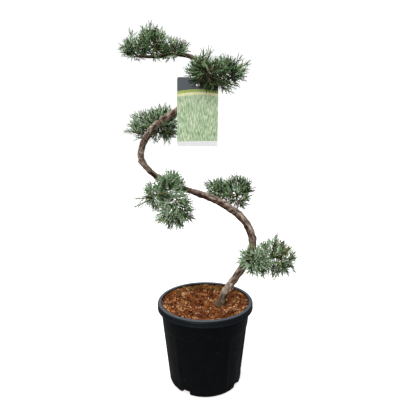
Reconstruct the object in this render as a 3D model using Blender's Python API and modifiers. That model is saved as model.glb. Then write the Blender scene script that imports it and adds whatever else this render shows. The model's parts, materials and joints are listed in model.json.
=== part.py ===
"""A conifer trained into a spiral-stemmed topiary, standing in a black plastic nursery pot.

The bare stem leans out of the pot and winds round its training stake, long since taken away, for a turn and
a half. Six loose pads of grey-green scale foliage sit along it, and a picture label is tied to the upper bend.
Everything is in metres, +Z up, with the origin at the middle of the pot's underside. -Y is the front.
"""

import math
import random
from collections import namedtuple

import bmesh
import bpy
from mathutils import Matrix, Vector
from mathutils.bvhtree import BVHTree

CLEARANCE = 0.0003  # between any two pieces that touch on the real plant

# ---------------------------------------------------------------- pot and soil
POT_HEIGHT = 0.268
RIM_RADIUS = 0.152
RIM_DROP = 0.021  # how far the folded rim hangs down outside the wall
RIM_SKIN = 0.0022
RIM_SHOULDER = 0.0045  # the slope round the top of the rim
WALL_SKIN = 0.0025
WALL_TOP_RADIUS = 0.1416  # outside of the wall, just under the rim
WALL_FOOT_RADIUS = 0.1168  # outside of the wall, just above the rounded corner
CORNER_RADIUS = 0.0136
FLOOR_THICKNESS = 0.004
POT_SIDES = 48

NOTCH_COUNT = 4  # drainage notches through the foot of the wall
NOTCH_FIRST_DEG = 58.5  # from the front, towards +X
NOTCH_WIDTH = 0.036
NOTCH_HEIGHT = 0.018
NOTCH_DEPTH = 0.020

SOIL_EDGE_HEIGHT = 0.2550
SOIL_HEIGHT = 0.2585
SOIL_FLAT_RADIUS = 0.107

# ---------------------------------------------------------------- stem
# Where the middle of the stem passes (x, y, z), and its radius there, from the soil to the tip.
STEM = [
    (0.0455, -0.0270, 0.2588, 0.0125),
    (0.0660, -0.0210, 0.3060, 0.0110),
    (0.1150, -0.0350, 0.3860, 0.0113),
    (0.1447, -0.0260, 0.4605, 0.0118),
    (0.1182, 0.0000, 0.5288, 0.0119),
    (0.0480, 0.0600, 0.5745, 0.0123),
    (-0.0370, 0.0950, 0.6030, 0.0100),
    (-0.1315, 0.0980, 0.6350, 0.0088),
    (-0.1955, 0.0580, 0.6965, 0.0097),
    (-0.1868, -0.0050, 0.7527, 0.0098),
    (-0.1350, -0.0750, 0.8080, 0.0088),
    (-0.0600, -0.1085, 0.8530, 0.0086),
    (-0.0050, -0.0930, 0.9020, 0.0080),
    (0.0210, -0.0500, 0.9420, 0.0074),
    (-0.0120, 0.0180, 0.9970, 0.0067),
    (-0.0750, 0.0340, 1.0210, 0.0058),
    (-0.1430, 0.0000, 1.0060, 0.0046),
    (-0.1950, -0.0240, 1.0020, 0.0030),
]
RINGS_PER_STATION = 4
STEM_SQUARE = 0.004  # this much of each end of a piece runs straight
FLARE_HEIGHT = 0.030  # the root flare dies out this far above the soil
FLARE_EXTRA = 0.0065  # and widens the radius by this much at the soil

# The stem is one limb, made in pieces that part at its bends: name, first and last station.
STEM_PIECES = [
    ("trunk_foot", 0, 3),
    ("trunk_lower_bend", 3, 5),
    ("trunk_back", 5, 7),
    ("trunk_left_bend", 7, 9),
    ("trunk_front", 9, 11),
    ("trunk_upper_bend", 11, 14),
    ("trunk_leader", 14, 17),
]

# ---------------------------------------------------------------- pads of foliage
Mass = namedtuple("Mass", "name station middle half lift")
Twig = namedtuple("Twig", "start end root_radius tip_radius")
Spray = namedtuple("Spray", "root direction wing length")

# Each mass of foliage fills its own ellipsoid: the station where its bough leaves the stem, the ellipsoid's
# middle and half sizes, and how strongly its sprays turn upwards.
MASSES = [
    Mass("low_right_inner", 2.25, (0.140, -0.060, 0.410), (0.060, 0.060, 0.056), 0.20),
    Mass("low_right_outer", 2.50, (0.212, -0.022, 0.416), (0.076, 0.072, 0.074), 0.20),
    Mass("mid_right_inner", 4.85, (0.045, 0.125, 0.612), (0.060, 0.060, 0.050), 0.50),
    Mass("mid_right_outer", 4.45, (0.110, 0.105, 0.605), (0.066, 0.068, 0.066), 0.35),
    Mass("mid_left_upper", 6.45, (-0.108, 0.040, 0.628), (0.078, 0.062, 0.060), 0.35),
    Mass("mid_left_lower", 6.55, (-0.102, 0.012, 0.557), (0.080, 0.068, 0.070), -0.25),
    Mass("mid_left_outer", 6.75, (-0.163, 0.012, 0.588), (0.052, 0.058, 0.060), 0.00),
    Mass("high_left_outer", 8.90, (-0.198, 0.035, 0.812), (0.058, 0.062, 0.062), 0.35),
    Mass("high_left_inner", 9.80, (-0.128, 0.012, 0.806), (0.064, 0.062, 0.066), 0.25),
    Mass("upper_right_inner", 13.20, (-0.006, -0.020, 0.966), (0.062, 0.062, 0.062), 0.60),
    Mass("upper_right_outer", 12.75, (0.068, -0.040, 0.952), (0.072, 0.066, 0.062), 0.45),
    Mass("upper_right_front", 12.70, (0.012, -0.144, 0.932), (0.052, 0.032, 0.044), -0.10),
    Mass("top_right", 14.80, (-0.084, 0.020, 1.032), (0.064, 0.062, 0.048), 0.45),
    Mass("top_middle", 15.60, (-0.147, 0.000, 1.044), (0.062, 0.068, 0.064), 0.70),
    Mass("top_left", 16.40, (-0.194, -0.018, 1.026), (0.058, 0.062, 0.050), 0.25),
]
BOUGH_SHARE = 0.42  # a bough covers this much of the way from the stem to the middle of its mass
BOUGH_RADII = (0.0034, 0.0026)
BOUGH_SEAT = 0.0001  # its square end stands off the round stem by this much more
STALK_RADII = (0.0026, 0.0016)  # the mass's own stem, which goes on from the bough
STALK_PIECES = 3
STALK_BEYOND = 0.45  # how far the stalk runs past the middle, as a share of the way to the skin
TWIGS_PER_MASS = 10
TWIG_RADII = (0.0017, 0.0011)
TWIG_REACH = 0.62  # a twig ends at this share of the way from the stalk to the skin
TWIG_SHORTEST = 0.012
SPRAYS_PER_TWIG = 3
SPRAYS_PER_STALK = 6
SPRAY_LONGEST = 0.070
SPRAY_SHORTEST = 0.022
SPRAY_WIDTH = 0.44  # of its length
SPRAY_THICKNESS = 0.080  # of its length
SPRAY_TEETH = [(0.34, 0.50), (0.58, 0.42)]  # left and right: along the spray, and out as a share of the width
SPRAY_RIDGE = 0.42  # the thickest point, as a share of the length
CORE_SHARE = 0.60  # the dense middle of a mass, as a share of its size
CORE_LUMPS = (0.78, 1.22)  # how much its surface goes in and out
CORE_TRIES = 40
LIMB_ROOM = 0.0022  # foliage stays this far off any limb
BORDER_ROOM = 0.030  # and this far inside its own space, as a share of it
GOLDEN_ANGLE = math.pi * (3 - math.sqrt(5))
SEED = 20

# ---------------------------------------------------------------- label
LABEL_WIDTH = 0.1068
LABEL_HEIGHT = 0.1749
LABEL_THICKNESS = 0.0009
LABEL_CORNER = 0.004
LABEL_CENTRE = (-0.0186, -0.1195, 0.8386)
LABEL_ROLL_DEG = -0.8
LABEL_HOLE_RADIUS = 0.0046
LABEL_HOLE_DROP = 0.0180  # below the top edge
LABEL_ROOM = 0.0015
TIE_RADIUS = 0.0007
TIE_KNOT_RADIUS = 0.0050
TIE_TURNS = 10  # pieces in its arc round the stem

COLOURS = {
    "black_polypropylene": ((0.012, 0.013, 0.016, 1), 0.45, 0.0),
    "bark_mulch": ((0.20, 0.085, 0.035, 1), 0.95, 0.0),
    "conifer_bark": ((0.17, 0.12, 0.095, 1), 0.9, 0.0),
    "conifer_foliage": ((0.085, 0.15, 0.10, 1), 0.7, 0.0),
    "label_card": ((0.50, 0.66, 0.42, 1), 0.35, 0.0),
    "label_tie": ((0.10, 0.20, 0.10, 1), 0.5, 0.0),
}


# ---------------------------------------------------------------- helpers
def clear_scene():
    for obj in list(bpy.data.objects):
        bpy.data.objects.remove(obj)


def new_collection(name):
    made = bpy.data.collections.new(name)
    bpy.context.scene.collection.children.link(made)
    return made


def material(name):
    made = bpy.data.materials.get(name)
    if made is None:
        colour, roughness, metallic = COLOURS[name]
        made = bpy.data.materials.new(name)
        made.use_nodes = True
        shader = made.node_tree.nodes["Principled BSDF"]
        shader.inputs["Base Color"].default_value = colour
        shader.inputs["Roughness"].default_value = roughness
        shader.inputs["Metallic"].default_value = metallic
    return made


def add_object(name, data, collection, material_name=None):
    obj = bpy.data.objects.new(name, data)
    collection.objects.link(obj)
    if material_name:
        data.materials.append(material(material_name))
    return obj


def evaluated_mesh(obj):
    """The object's mesh with its modifiers or its bevel worked out."""
    bpy.context.view_layer.update()
    graph = bpy.context.evaluated_depsgraph_get()
    return bpy.data.meshes.new_from_object(obj.evaluated_get(graph))


def smooth_point(rows, along):
    """A point on the Catmull-Rom curve through the rows, at a whole or fractional row number."""
    last = len(rows) - 1
    at = min(max(int(along), 0), last - 1)
    share = along - at
    before, start, end, after = (
        Vector(rows[min(max(k, 0), last)]) for k in (at - 1, at, at + 1, at + 2)
    )
    return 0.5 * (
        2 * start
        + (end - before) * share
        + (2 * before - 5 * start + 4 * end - after) * share**2
        + (3 * start - before - 3 * end + after) * share**3
    )


def stem_centre(station):
    return smooth_point([row[:3] for row in STEM], station)


def stem_tangent(station):
    step = 0.02
    return (stem_centre(station + step) - stem_centre(station - step)).normalized()


def stem_radius(station):
    at = min(int(station), len(STEM) - 2)
    share = station - at
    radius = STEM[at][3] * (1 - share) + STEM[at + 1][3] * share
    above = stem_centre(station).z - STEM[0][2]
    return radius + FLARE_EXTRA * max(0.0, 1 - above / FLARE_HEIGHT) ** 2


def tapered_limb(name, rows, collection, material_name, resolution):
    """A round limb through rows of (centre, radius), with flat ends square to it."""
    data = bpy.data.curves.new(name, "CURVE")
    data.dimensions = "3D"
    data.bevel_depth = 1.0
    data.bevel_resolution = resolution
    data.use_fill_caps = True
    spline = data.splines.new("POLY")
    spline.points.add(len(rows) - 1)
    for point, (centre, radius) in zip(spline.points, rows):
        point.co = (*centre, 1)
        point.radius = radius
    curve = add_object(name, data, collection)
    mesh = evaluated_mesh(curve)
    bpy.data.objects.remove(curve)
    welded = bmesh.new()
    welded.from_mesh(mesh)
    bmesh.ops.remove_doubles(welded, verts=welded.verts, dist=1e-6)
    welded.to_mesh(mesh)
    welded.free()
    mesh.shade_smooth()
    mesh.name = name
    return add_object(name, mesh, collection, material_name)


# ---------------------------------------------------------------- pot and soil
def wall_radius(height):
    """The outside radius of the wall at this height."""
    share = (height - CORNER_RADIUS) / (POT_HEIGHT - RIM_DROP - CORNER_RADIUS)
    return WALL_FOOT_RADIUS + (WALL_TOP_RADIUS - WALL_FOOT_RADIUS) * share


def corner_arc(radius, shrink, steps=3):
    """The rounded foot of the wall, from the wall down to the flat underside."""
    middle = Vector((radius - CORNER_RADIUS, CORNER_RADIUS))
    inner = CORNER_RADIUS - shrink
    turns = [math.pi / 2 * step / steps for step in range(steps + 1)]
    return [(middle.x + inner * math.cos(t), middle.y - inner * math.sin(t)) for t in turns]


def turned_solid(name, profile, collection, material_name):
    """A solid turned round Z from a profile that starts and ends on the axis."""
    mesh = bpy.data.meshes.new(name)
    mesh.from_pydata(
        [(radius, 0, height) for radius, height in profile],
        [(k, k + 1) for k in range(len(profile) - 1)],
        [],
    )
    obj = add_object(name, mesh, collection, material_name)
    screw = obj.modifiers.new("Turn", "SCREW")
    screw.steps = screw.render_steps = POT_SIDES
    screw.use_merge_vertices = True
    screw.merge_threshold = 0.0001
    screw.use_smooth_shade = True
    return obj


def cut_notches(obj, cutters, name, grow):
    """Cuts the drainage notches, each side grown by this much, through the foot of a turned solid."""
    for number in range(NOTCH_COUNT):
        turn = math.radians(NOTCH_FIRST_DEG + 360 / NOTCH_COUNT * number)
        outwards = Vector((math.sin(turn), -math.cos(turn), 0))
        depth = NOTCH_DEPTH + grow + CORNER_RADIUS
        middle = outwards * (WALL_FOOT_RADIUS + CORNER_RADIUS - depth / 2)
        bpy.ops.mesh.primitive_cube_add(size=1, location=(middle.x, middle.y, 0))
        cutter = bpy.context.object
        cutter.name = f"{name}_{number + 1}"
        cutter.rotation_euler.z = turn
        cutter.scale = (NOTCH_WIDTH + 2 * grow, depth, 2 * (NOTCH_HEIGHT + grow))
        cutter.hide_render = True
        cutter.display_type = "WIRE"
        for collection in list(cutter.users_collection):
            collection.objects.unlink(cutter)
        cutters.objects.link(cutter)
        cut = obj.modifiers.new(cutter.name, "BOOLEAN")
        cut.operation = "DIFFERENCE"
        cut.solver = "MANIFOLD"
        cut.object = cutter


def build_pot(plant, cutters):
    rim_foot = POT_HEIGHT - RIM_DROP
    fold_height = POT_HEIGHT - RIM_SKIN
    inside_top = WALL_TOP_RADIUS - WALL_SKIN
    inner_foot = corner_arc(WALL_FOOT_RADIUS, WALL_SKIN)
    inner_foot = [(r, h) for r, h in inner_foot if h >= FLOOR_THICKNESS]
    profile = [(0, FLOOR_THICKNESS), (inner_foot[-1][0], FLOOR_THICKNESS)]
    profile += reversed(inner_foot)
    profile += [
        (inside_top, rim_foot),
        (inside_top + 0.0006, POT_HEIGHT - 0.003),
        (inside_top + 0.0030, POT_HEIGHT),
        (RIM_RADIUS - RIM_SHOULDER, POT_HEIGHT),
        (RIM_RADIUS - RIM_SHOULDER / 3, POT_HEIGHT - RIM_SHOULDER),
        (RIM_RADIUS, POT_HEIGHT - 2.4 * RIM_SHOULDER),
        (RIM_RADIUS - 0.0005, rim_foot),
        (RIM_RADIUS - 0.0005 - RIM_SKIN, rim_foot),
        (RIM_RADIUS - RIM_SHOULDER / 3 - RIM_SKIN, fold_height - RIM_SHOULDER / 2),
        (RIM_RADIUS - RIM_SHOULDER - RIM_SKIN / 2, fold_height),
        (WALL_TOP_RADIUS + 0.0004, fold_height),
        (WALL_TOP_RADIUS, rim_foot),
    ]
    profile += corner_arc(WALL_FOOT_RADIUS, 0)
    profile += [(0, 0)]
    pot = turned_solid("pot", profile, plant, "black_polypropylene")
    cut_notches(pot, cutters, "pot_notch", 0)
    return pot


def build_soil(plant, cutters):
    inner_foot = corner_arc(WALL_FOOT_RADIUS, WALL_SKIN + CLEARANCE)
    bottom = FLOOR_THICKNESS + CLEARANCE
    inner_foot = [(r, h) for r, h in inner_foot if h > bottom + CLEARANCE]
    edge = wall_radius(POT_HEIGHT - RIM_DROP) - WALL_SKIN - CLEARANCE
    profile = [(0, SOIL_HEIGHT), (SOIL_FLAT_RADIUS, SOIL_HEIGHT)]
    profile += [(edge, SOIL_EDGE_HEIGHT), (edge, POT_HEIGHT - RIM_DROP)]
    profile += inner_foot
    profile += [(inner_foot[-1][0] - 0.002, bottom), (0, bottom)]
    soil = turned_solid("soil", profile, plant, "bark_mulch")
    cut_notches(soil, cutters, "soil_notch", CLEARANCE)
    return soil


# ---------------------------------------------------------------- stem and boughs
def stem_end(station, sign):
    """Two rows at an end of a piece of stem, which make it square, and half the clearance short."""
    inwards = stem_tangent(station) * sign
    gap = CLEARANCE / 2 if 0 < station < len(STEM) - 1 else 0.0
    centre = stem_centre(station)
    return [
        (centre + inwards * gap, stem_radius(station)),
        (centre + inwards * STEM_SQUARE, stem_radius(station + sign * 0.05)),
    ]


def stem_rows(first, last):
    """Centres and radii along one piece of the stem."""
    count = round((last - first) * RINGS_PER_STATION)
    stations = [first + (last - first) * step / count for step in range(1, count)]
    rows = [(stem_centre(s), stem_radius(s)) for s in stations]
    return stem_end(first, 1) + rows + stem_end(last, -1)[::-1]


def cut_flat_at_soil(obj):
    """Makes the foot of the stem a flat cut, just clear of the soil."""
    mesh = bmesh.new()
    mesh.from_mesh(obj.data)
    bmesh.ops.bisect_plane(
        mesh,
        geom=mesh.verts[:] + mesh.edges[:] + mesh.faces[:],
        plane_co=(0, 0, SOIL_HEIGHT + CLEARANCE),
        plane_no=(0, 0, -1),
        clear_outer=True,
    )
    rim = [edge for edge in mesh.edges if edge.is_boundary]
    bmesh.ops.holes_fill(mesh, edges=rim)
    bmesh.ops.recalc_face_normals(mesh, faces=mesh.faces)
    mesh.to_mesh(obj.data)
    mesh.free()


def build_stem(plant):
    for name, first, last in STEM_PIECES:
        rows = stem_rows(first, last)
        if first == 0:
            root = STEM[0][3] + FLARE_EXTRA
            rows[0] = (rows[0][0] - Vector((0.002, 0, 0.012)), root)
        piece = tapered_limb(name, rows, plant, "conifer_bark", 3)
        if first == 0:
            cut_flat_at_soil(piece)


def bough_rows(mass):
    """Centres and radii of a mass's bough, which bows out of the stem and ends where the mass begins."""
    origin = stem_centre(mass.station)
    tangent = stem_tangent(mass.station)
    towards = Vector(mass.middle) - origin
    side = (towards - towards.dot(tangent) * tangent).normalized()
    start = origin + side * (stem_radius(mass.station) + CLEARANCE + BOUGH_SEAT)
    end = start.lerp(Vector(mass.middle), BOUGH_SHARE)
    reach = (end - start).length
    knee = start + side * reach * 0.35
    rows = []
    steps = 5
    for step in range(steps + 1):
        share = step / steps
        centre = (1 - share) ** 2 * start + 2 * share * (1 - share) * knee + share**2 * end
        rows.append((centre, BOUGH_RADII[0] * (1 - share) + BOUGH_RADII[1] * share))
    rows[1] = (start + side * (rows[1][0] - start).length, rows[1][1])
    return rows


def build_boughs(plant):
    for mass in MASSES:
        tapered_limb(f"bough_{mass.name}", bough_rows(mass), plant, "conifer_bark", 1)


# ---------------------------------------------------------------- foliage
def reach_share(mass, point):
    """How far out a point lies in a mass's ellipsoid: 0 at its middle, 1 on its skin."""
    offset = Vector(point) - Vector(mass.middle)
    return math.sqrt(sum((o / half) ** 2 for o, half in zip(offset, mass.half)))


def in_own_space(mass, point):
    share = reach_share(mass, point)
    others = (reach_share(other, point) for other in MASSES if other is not mass)
    return share <= 1 and all(share < other - BORDER_ROOM for other in others)


def free_distance(mass, start, direction):
    """How far a mass's own space goes on from a point in it, along a direction."""
    low, high = 0.0, 2 * max(mass.half)
    for _ in range(12):
        trial = (low + high) / 2
        if in_own_space(mass, start + direction * trial):
            low = trial
        else:
            high = trial
    return low


def clear_of_limbs(limbs, point):
    return all((point - centre).length > radius + LIMB_ROOM for centre, radius in limbs)


def clear_of_label(point):
    sides = (LABEL_WIDTH / 2, LABEL_THICKNESS / 2, LABEL_HEIGHT / 2)
    offset = Vector(point) - Vector(LABEL_CENTRE)
    return any(abs(o) > side + LABEL_ROOM for o, side in zip(offset, sides))


def fits(mass, limbs, points):
    return all(in_own_space(mass, p) and clear_of_limbs(limbs, p) and clear_of_label(p) for p in points)


def limb_samples():
    """Points and radii down the middle of every limb, close enough together to test against."""
    steps = (len(STEM) - 1) * 12
    samples = [(stem_centre(step / 12), stem_radius(step / 12)) for step in range(steps + 1)]
    for mass in MASSES:
        rows = bough_rows(mass)
        for (start, radius), (end, _) in zip(rows, rows[1:]):
            samples += [(start.lerp(end, share), radius) for share in (0.0, 0.5, 1.0)]
    return samples


def across(direction, turn):
    """A unit vector square to the direction, turned round it."""
    helper = Vector((0, 0, 1)) if abs(direction.z) < 0.9 else Vector((1, 0, 0))
    return Matrix.Rotation(turn, 3, direction) @ direction.cross(helper).normalized()


def grow_stalk(mass):
    """The mass's own stem, on from its bough's tip and past the middle, as twigs end to end."""
    rows = bough_rows(mass)
    heading = (rows[-1][0] - rows[-2][0]).normalized()
    start = rows[-1][0] + heading * CLEARANCE
    through = (Vector(mass.middle) - start).normalized()
    end = Vector(mass.middle) + through * free_distance(mass, Vector(mass.middle), through) * STALK_BEYOND
    knee = start + heading * (end - start).length * 0.4
    points, radii = [], []
    for step in range(STALK_PIECES + 1):
        share = step / STALK_PIECES
        points.append((1 - share) ** 2 * start + 2 * share * (1 - share) * knee + share**2 * end)
        radii.append(STALK_RADII[0] * (1 - share) + STALK_RADII[1] * share)
    points[1] = start + heading * (points[1] - start).length
    return [
        Twig(points[k], points[k + 1], radii[k], radii[k + 1]) for k in range(STALK_PIECES)
    ]


def surface_tree(shape):
    """A search tree of a shape's surface, to test what it would cross."""
    if isinstance(shape, bmesh.types.BMesh):
        return BVHTree.FromBMesh(shape)
    mesh = evaluated_mesh(shape)
    solid = bmesh.new()
    solid.from_mesh(mesh)
    bpy.data.meshes.remove(mesh)
    solid.transform(shape.matrix_world)
    tree = BVHTree.FromBMesh(solid)
    solid.free()
    return tree


def crosses(tree, others):
    return any(tree.overlap(other) for other in others)


def grow_twigs(mass, limbs, taken, stalk, dice):
    """Twigs that branch off the stalk, each turned by the golden angle from the one before."""
    twigs = []
    for number in range(TWIGS_PER_MASS):
        share = 0.3 + 0.69 * number / (TWIGS_PER_MASS - 1)
        part = stalk[min(int(share * STALK_PIECES), STALK_PIECES - 1)]
        root = part.start.lerp(part.end, share * STALK_PIECES % 1)
        axis = (part.end - part.start).normalized()
        side = across(axis, GOLDEN_ANGLE * number + dice.uniform(-0.3, 0.3))
        direction = (side + axis * 0.5 * share + Vector((0, 0, mass.lift * 0.5))).normalized()
        length = free_distance(mass, root, direction) * TWIG_REACH
        outer_half = [root + direction * length * (0.4 + 0.15 * step) for step in range(5)]
        if length > TWIG_SHORTEST and fits(mass, limbs, outer_half):
            twig = Twig(root, root + direction * length, *TWIG_RADII)
            if not crosses(surface_tree(twig_mesh(twig)), taken):
                twigs.append(twig)
    return twigs


def grow_spray(mass, limbs, root, axis, turn, dice):
    """One spray from this root, or None where it would not fit even when short."""
    outwards = (root - Vector(mass.middle)) / min(mass.half)
    chance = Vector([dice.uniform(-1, 1) for _ in range(3)])
    direction = axis * 0.6 + across(axis, turn) * 0.7 + outwards * 0.8 + chance * 0.25
    direction = (direction + Vector((0, 0, mass.lift))).normalized()
    to_skin = free_distance(mass, root, direction) * dice.uniform(0.86, 1.0)
    wing = across(direction, dice.uniform(0, math.pi))
    for shorter in (1.0, 0.85, 0.7):
        length = min(SPRAY_LONGEST, to_skin) * shorter
        if length < SPRAY_SHORTEST:
            return None
        out = wing * length * SPRAY_WIDTH / 2
        points = [root + direction * length * share for share in (0.3, 0.6, 1.0)]
        points += [points[0] + out, points[0] - out, points[1] + out, points[1] - out]
        if fits(mass, limbs, points):
            return Spray(root, direction, wing, length)
    return None


def grow_mass(mass, limbs, taken, dice):
    """The stalk, twigs and sprays of one mass. A spray that would cross anything is left out."""
    stalk = grow_stalk(mass)
    twigs = grow_twigs(mass, limbs, taken, stalk, dice)
    roots = []
    for number, twig in enumerate(twigs):
        for place in range(SPRAYS_PER_TWIG):
            share = 1 - 0.55 * place / SPRAYS_PER_TWIG
            roots.append((twig, share, GOLDEN_ANGLE * (place + 0.4 * number)))
    for place in range(SPRAYS_PER_STALK):
        part = stalk[-1 - place % 2]
        roots.append((part, 1 - 0.8 * place / SPRAYS_PER_STALK, GOLDEN_ANGLE * place))
    sprays, blades = [], []
    for twig, share, turn in roots:
        axis = (twig.end - twig.start).normalized()
        root = twig.start.lerp(twig.end, share) - axis * TWIG_RADII[1]
        spray = grow_spray(mass, limbs, root, axis, turn, dice)
        if spray is None:
            continue
        blade = surface_tree(spray_mesh(spray))
        if not crosses(blade, taken) and not crosses(blade, blades):
            sprays.append(spray)
            blades.append(blade)
    return stalk + twigs, sprays


def core_mesh(mass, limbs, taken, dice):
    """The lumpy dense middle of a mass, drawn in wherever a limb or another mass is near, or None."""
    mesh = bmesh.new()
    bmesh.ops.create_icosphere(mesh, subdivisions=2, radius=1)
    middle = Vector(mass.middle)
    for vertex in mesh.verts:
        share = CORE_SHARE * dice.uniform(*CORE_LUMPS)
        vertex.co = middle + Vector([c * half * share for c, half in zip(vertex.co, mass.half)])
    for _ in range(CORE_TRIES):
        crowded = set()
        for face in mesh.faces:
            corners = [vertex.co for vertex in face.verts]
            between = [(corners[k - 1] + corners[k]) / 2 for k in range(3)]
            if not fits(mass, limbs, [*corners, *between, face.calc_center_median()]):
                crowded.update(face.verts)
        mesh.faces.ensure_lookup_table()
        tree = surface_tree(mesh)
        for hits in (tree.overlap(other) for other in taken):
            for face_number, _ in hits:
                crowded.update(mesh.faces[face_number].verts)
        if not crowded:
            return mesh
        for vertex in crowded:
            vertex.co = middle.lerp(vertex.co, 0.9)
    mesh.free()
    return None


def twig_mesh(twig):
    """A straight three-sided twig."""
    mesh = bmesh.new()
    bmesh.ops.create_cone(
        mesh,
        cap_ends=True,
        segments=3,
        radius1=twig.root_radius,
        radius2=twig.tip_radius,
        depth=(twig.end - twig.start).length,
    )
    turn = (twig.end - twig.start).to_track_quat("Z", "Y").to_matrix().to_4x4()
    middle = (twig.start + twig.end) / 2
    bmesh.ops.transform(mesh, matrix=Matrix.Translation(middle) @ turn, verts=mesh.verts)
    return mesh


def spray_mesh(spray):
    """A toothed blade: a flat double cone whose rim is drawn out to a tooth on each side."""
    mesh = bmesh.new()
    bmesh.ops.create_uvsphere(mesh, u_segments=4, v_segments=2, radius=1)
    width = spray.length * SPRAY_WIDTH
    (left_along, left_out), (right_along, right_out) = SPRAY_TEETH
    outline = [
        Vector((0, 0, 0)),
        Vector((left_along * spray.length, left_out * width, 0)),
        Vector((spray.length, 0, 0)),
        Vector((right_along * spray.length, -right_out * width, 0)),
    ]
    rim = [vertex for vertex in mesh.verts if abs(vertex.co.z) < 0.5]
    rim.sort(key=lambda vertex: -math.atan2(vertex.co.y, vertex.co.x))
    for vertex in mesh.verts:
        if vertex in rim:
            vertex.co = outline[rim.index(vertex)]
        else:
            up = math.copysign(spray.length * SPRAY_THICKNESS / 2, vertex.co.z)
            vertex.co = Vector((spray.length * SPRAY_RIDGE, 0, up))
    face_up = spray.direction.cross(spray.wing)
    turn = Matrix((spray.direction, spray.wing, face_up)).transposed().to_4x4()
    bmesh.ops.transform(mesh, matrix=Matrix.Translation(spray.root) @ turn, verts=mesh.verts)
    bmesh.ops.recalc_face_normals(mesh, faces=mesh.faces)
    return mesh


def keep_largest_body(mesh):
    """Drops the loose scraps and sealed hollows that a union can leave."""
    whole = bmesh.new()
    whole.from_mesh(mesh)
    left = set(whole.verts)
    bodies = []
    while left:
        body, todo = set(), [left.pop()]
        while todo:
            vertex = todo.pop()
            body.add(vertex)
            fresh = {edge.other_vert(vertex) for edge in vertex.link_edges} & left
            left -= fresh
            todo += fresh
        bodies.append(body)
    largest = max(bodies, key=len)
    scraps = [vertex for vertex in whole.verts if vertex not in largest]
    bmesh.ops.delete(whole, geom=scraps, context="VERTS")
    whole.to_mesh(mesh)
    whole.free()


def join_solids(name, shapes, plant, material_name):
    """One object from overlapping solids, by one Boolean union on a collection."""
    spare = new_collection("joining")
    pieces = []
    for shape in shapes:
        data = bpy.data.meshes.new("shape")
        shape.to_mesh(data)
        shape.free()
        pieces.append(add_object("shape", data, spare if pieces else plant))
    union = pieces[0].modifiers.new("Join", "BOOLEAN")
    union.operation = "UNION"
    union.operand_type = "COLLECTION"
    union.collection = spare
    union.solver = "MANIFOLD"
    joined = evaluated_mesh(pieces[0])
    for piece in pieces:
        bpy.data.objects.remove(piece)
    bpy.data.collections.remove(spare)
    keep_largest_body(joined)
    joined.name = name
    joined.materials.clear()
    return add_object(name, joined, plant, material_name)


def build_foliage(plant):
    limbs = limb_samples()
    taken = [surface_tree(obj) for obj in plant.objects if obj.name not in ("pot", "soil")]
    for mass in MASSES:
        dice = random.Random(f"{SEED} {mass.name}")
        twigs, sprays = grow_mass(mass, limbs, taken, dice)
        shapes = [twig_mesh(twig) for twig in twigs] + [spray_mesh(spray) for spray in sprays]
        core = core_mesh(mass, limbs, taken, dice)
        if core:
            shapes.append(core)
        joined = join_solids(f"foliage_{mass.name}", shapes, plant, "conifer_foliage")
        taken.append(surface_tree(joined))
        print(mass.name, "has", len(twigs), "twigs and", len(sprays), "sprays", "" if core else "and no core")


# ---------------------------------------------------------------- label
def flat_outline(points_2d, data):
    spline = data.splines.new("POLY")
    spline.points.add(len(points_2d) - 1)
    spline.use_cyclic_u = True
    for point, (x, y) in zip(spline.points, points_2d):
        point.co = (x, y, 0, 1)


def arc(x, y, radius, first_deg, last_deg, steps):
    turns = [math.radians(first_deg + (last_deg - first_deg) * k / steps) for k in range(steps + 1)]
    return [(x + radius * math.cos(t), y + radius * math.sin(t)) for t in turns]


def label_matrix():
    upright = Matrix.Rotation(math.pi / 2, 4, "X")
    roll = Matrix.Rotation(math.radians(LABEL_ROLL_DEG), 4, "Z")
    return Matrix.Translation(LABEL_CENTRE) @ upright @ roll


def build_label(plant):
    data = bpy.data.curves.new("label", "CURVE")
    data.dimensions = "2D"
    data.fill_mode = "BOTH"
    data.extrude = LABEL_THICKNESS / 2
    half_width = LABEL_WIDTH / 2 - LABEL_CORNER
    half_height = LABEL_HEIGHT / 2 - LABEL_CORNER
    corners = [(1, 1, 0), (-1, 1, 90), (-1, -1, 180), (1, -1, 270)]
    outline = []
    for x, y, turn in corners:
        outline += arc(x * half_width, y * half_height, LABEL_CORNER, turn, turn + 90, 4)
    flat_outline(outline, data)
    hole_height = LABEL_HEIGHT / 2 - LABEL_HOLE_DROP
    flat_outline(arc(0, hole_height, LABEL_HOLE_RADIUS, 0, 330, 11), data)
    label = add_object("label", data, plant, "label_card")
    label.matrix_world = label_matrix()


def build_tie(plant):
    """A cord round the stem, both ends through the label's hole into a knot in front of it."""
    hole = label_matrix() @ Vector((0, LABEL_HEIGHT / 2 - LABEL_HOLE_DROP, 0))
    stations = [11 + step / 100 for step in range(200)]
    station = min(stations, key=lambda s: (stem_centre(s) - hole).length)
    centre = stem_centre(station)
    towards = (hole - centre).normalized()
    stand_off = LABEL_THICKNESS / 2 + TIE_KNOT_RADIUS + CLEARANCE
    knot = hole + towards * stand_off / -towards.y
    side = stem_tangent(station).cross(towards).normalized()
    turn_radius = stem_radius(station) + TIE_RADIUS + 2 * CLEARANCE
    leaves_at = math.acos(turn_radius / (knot - centre).length)
    points = [knot]
    for step in range(TIE_TURNS + 1):
        turn = leaves_at + (math.tau - 2 * leaves_at) * step / TIE_TURNS
        points.append(centre + (towards * math.cos(turn) + side * math.sin(turn)) * turn_radius)
    points.append(knot)
    cord = tapered_limb("cord", [(point, TIE_RADIUS) for point in points], plant, "label_tie", 0)
    ball = bmesh.new()
    bmesh.ops.create_icosphere(ball, subdivisions=2, radius=TIE_KNOT_RADIUS)
    bmesh.ops.translate(ball, vec=knot, verts=ball.verts)
    strand = bmesh.new()
    strand.from_mesh(cord.data)
    bpy.data.objects.remove(cord)
    join_solids("label_tie", [ball, strand], plant, "label_tie")


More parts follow.
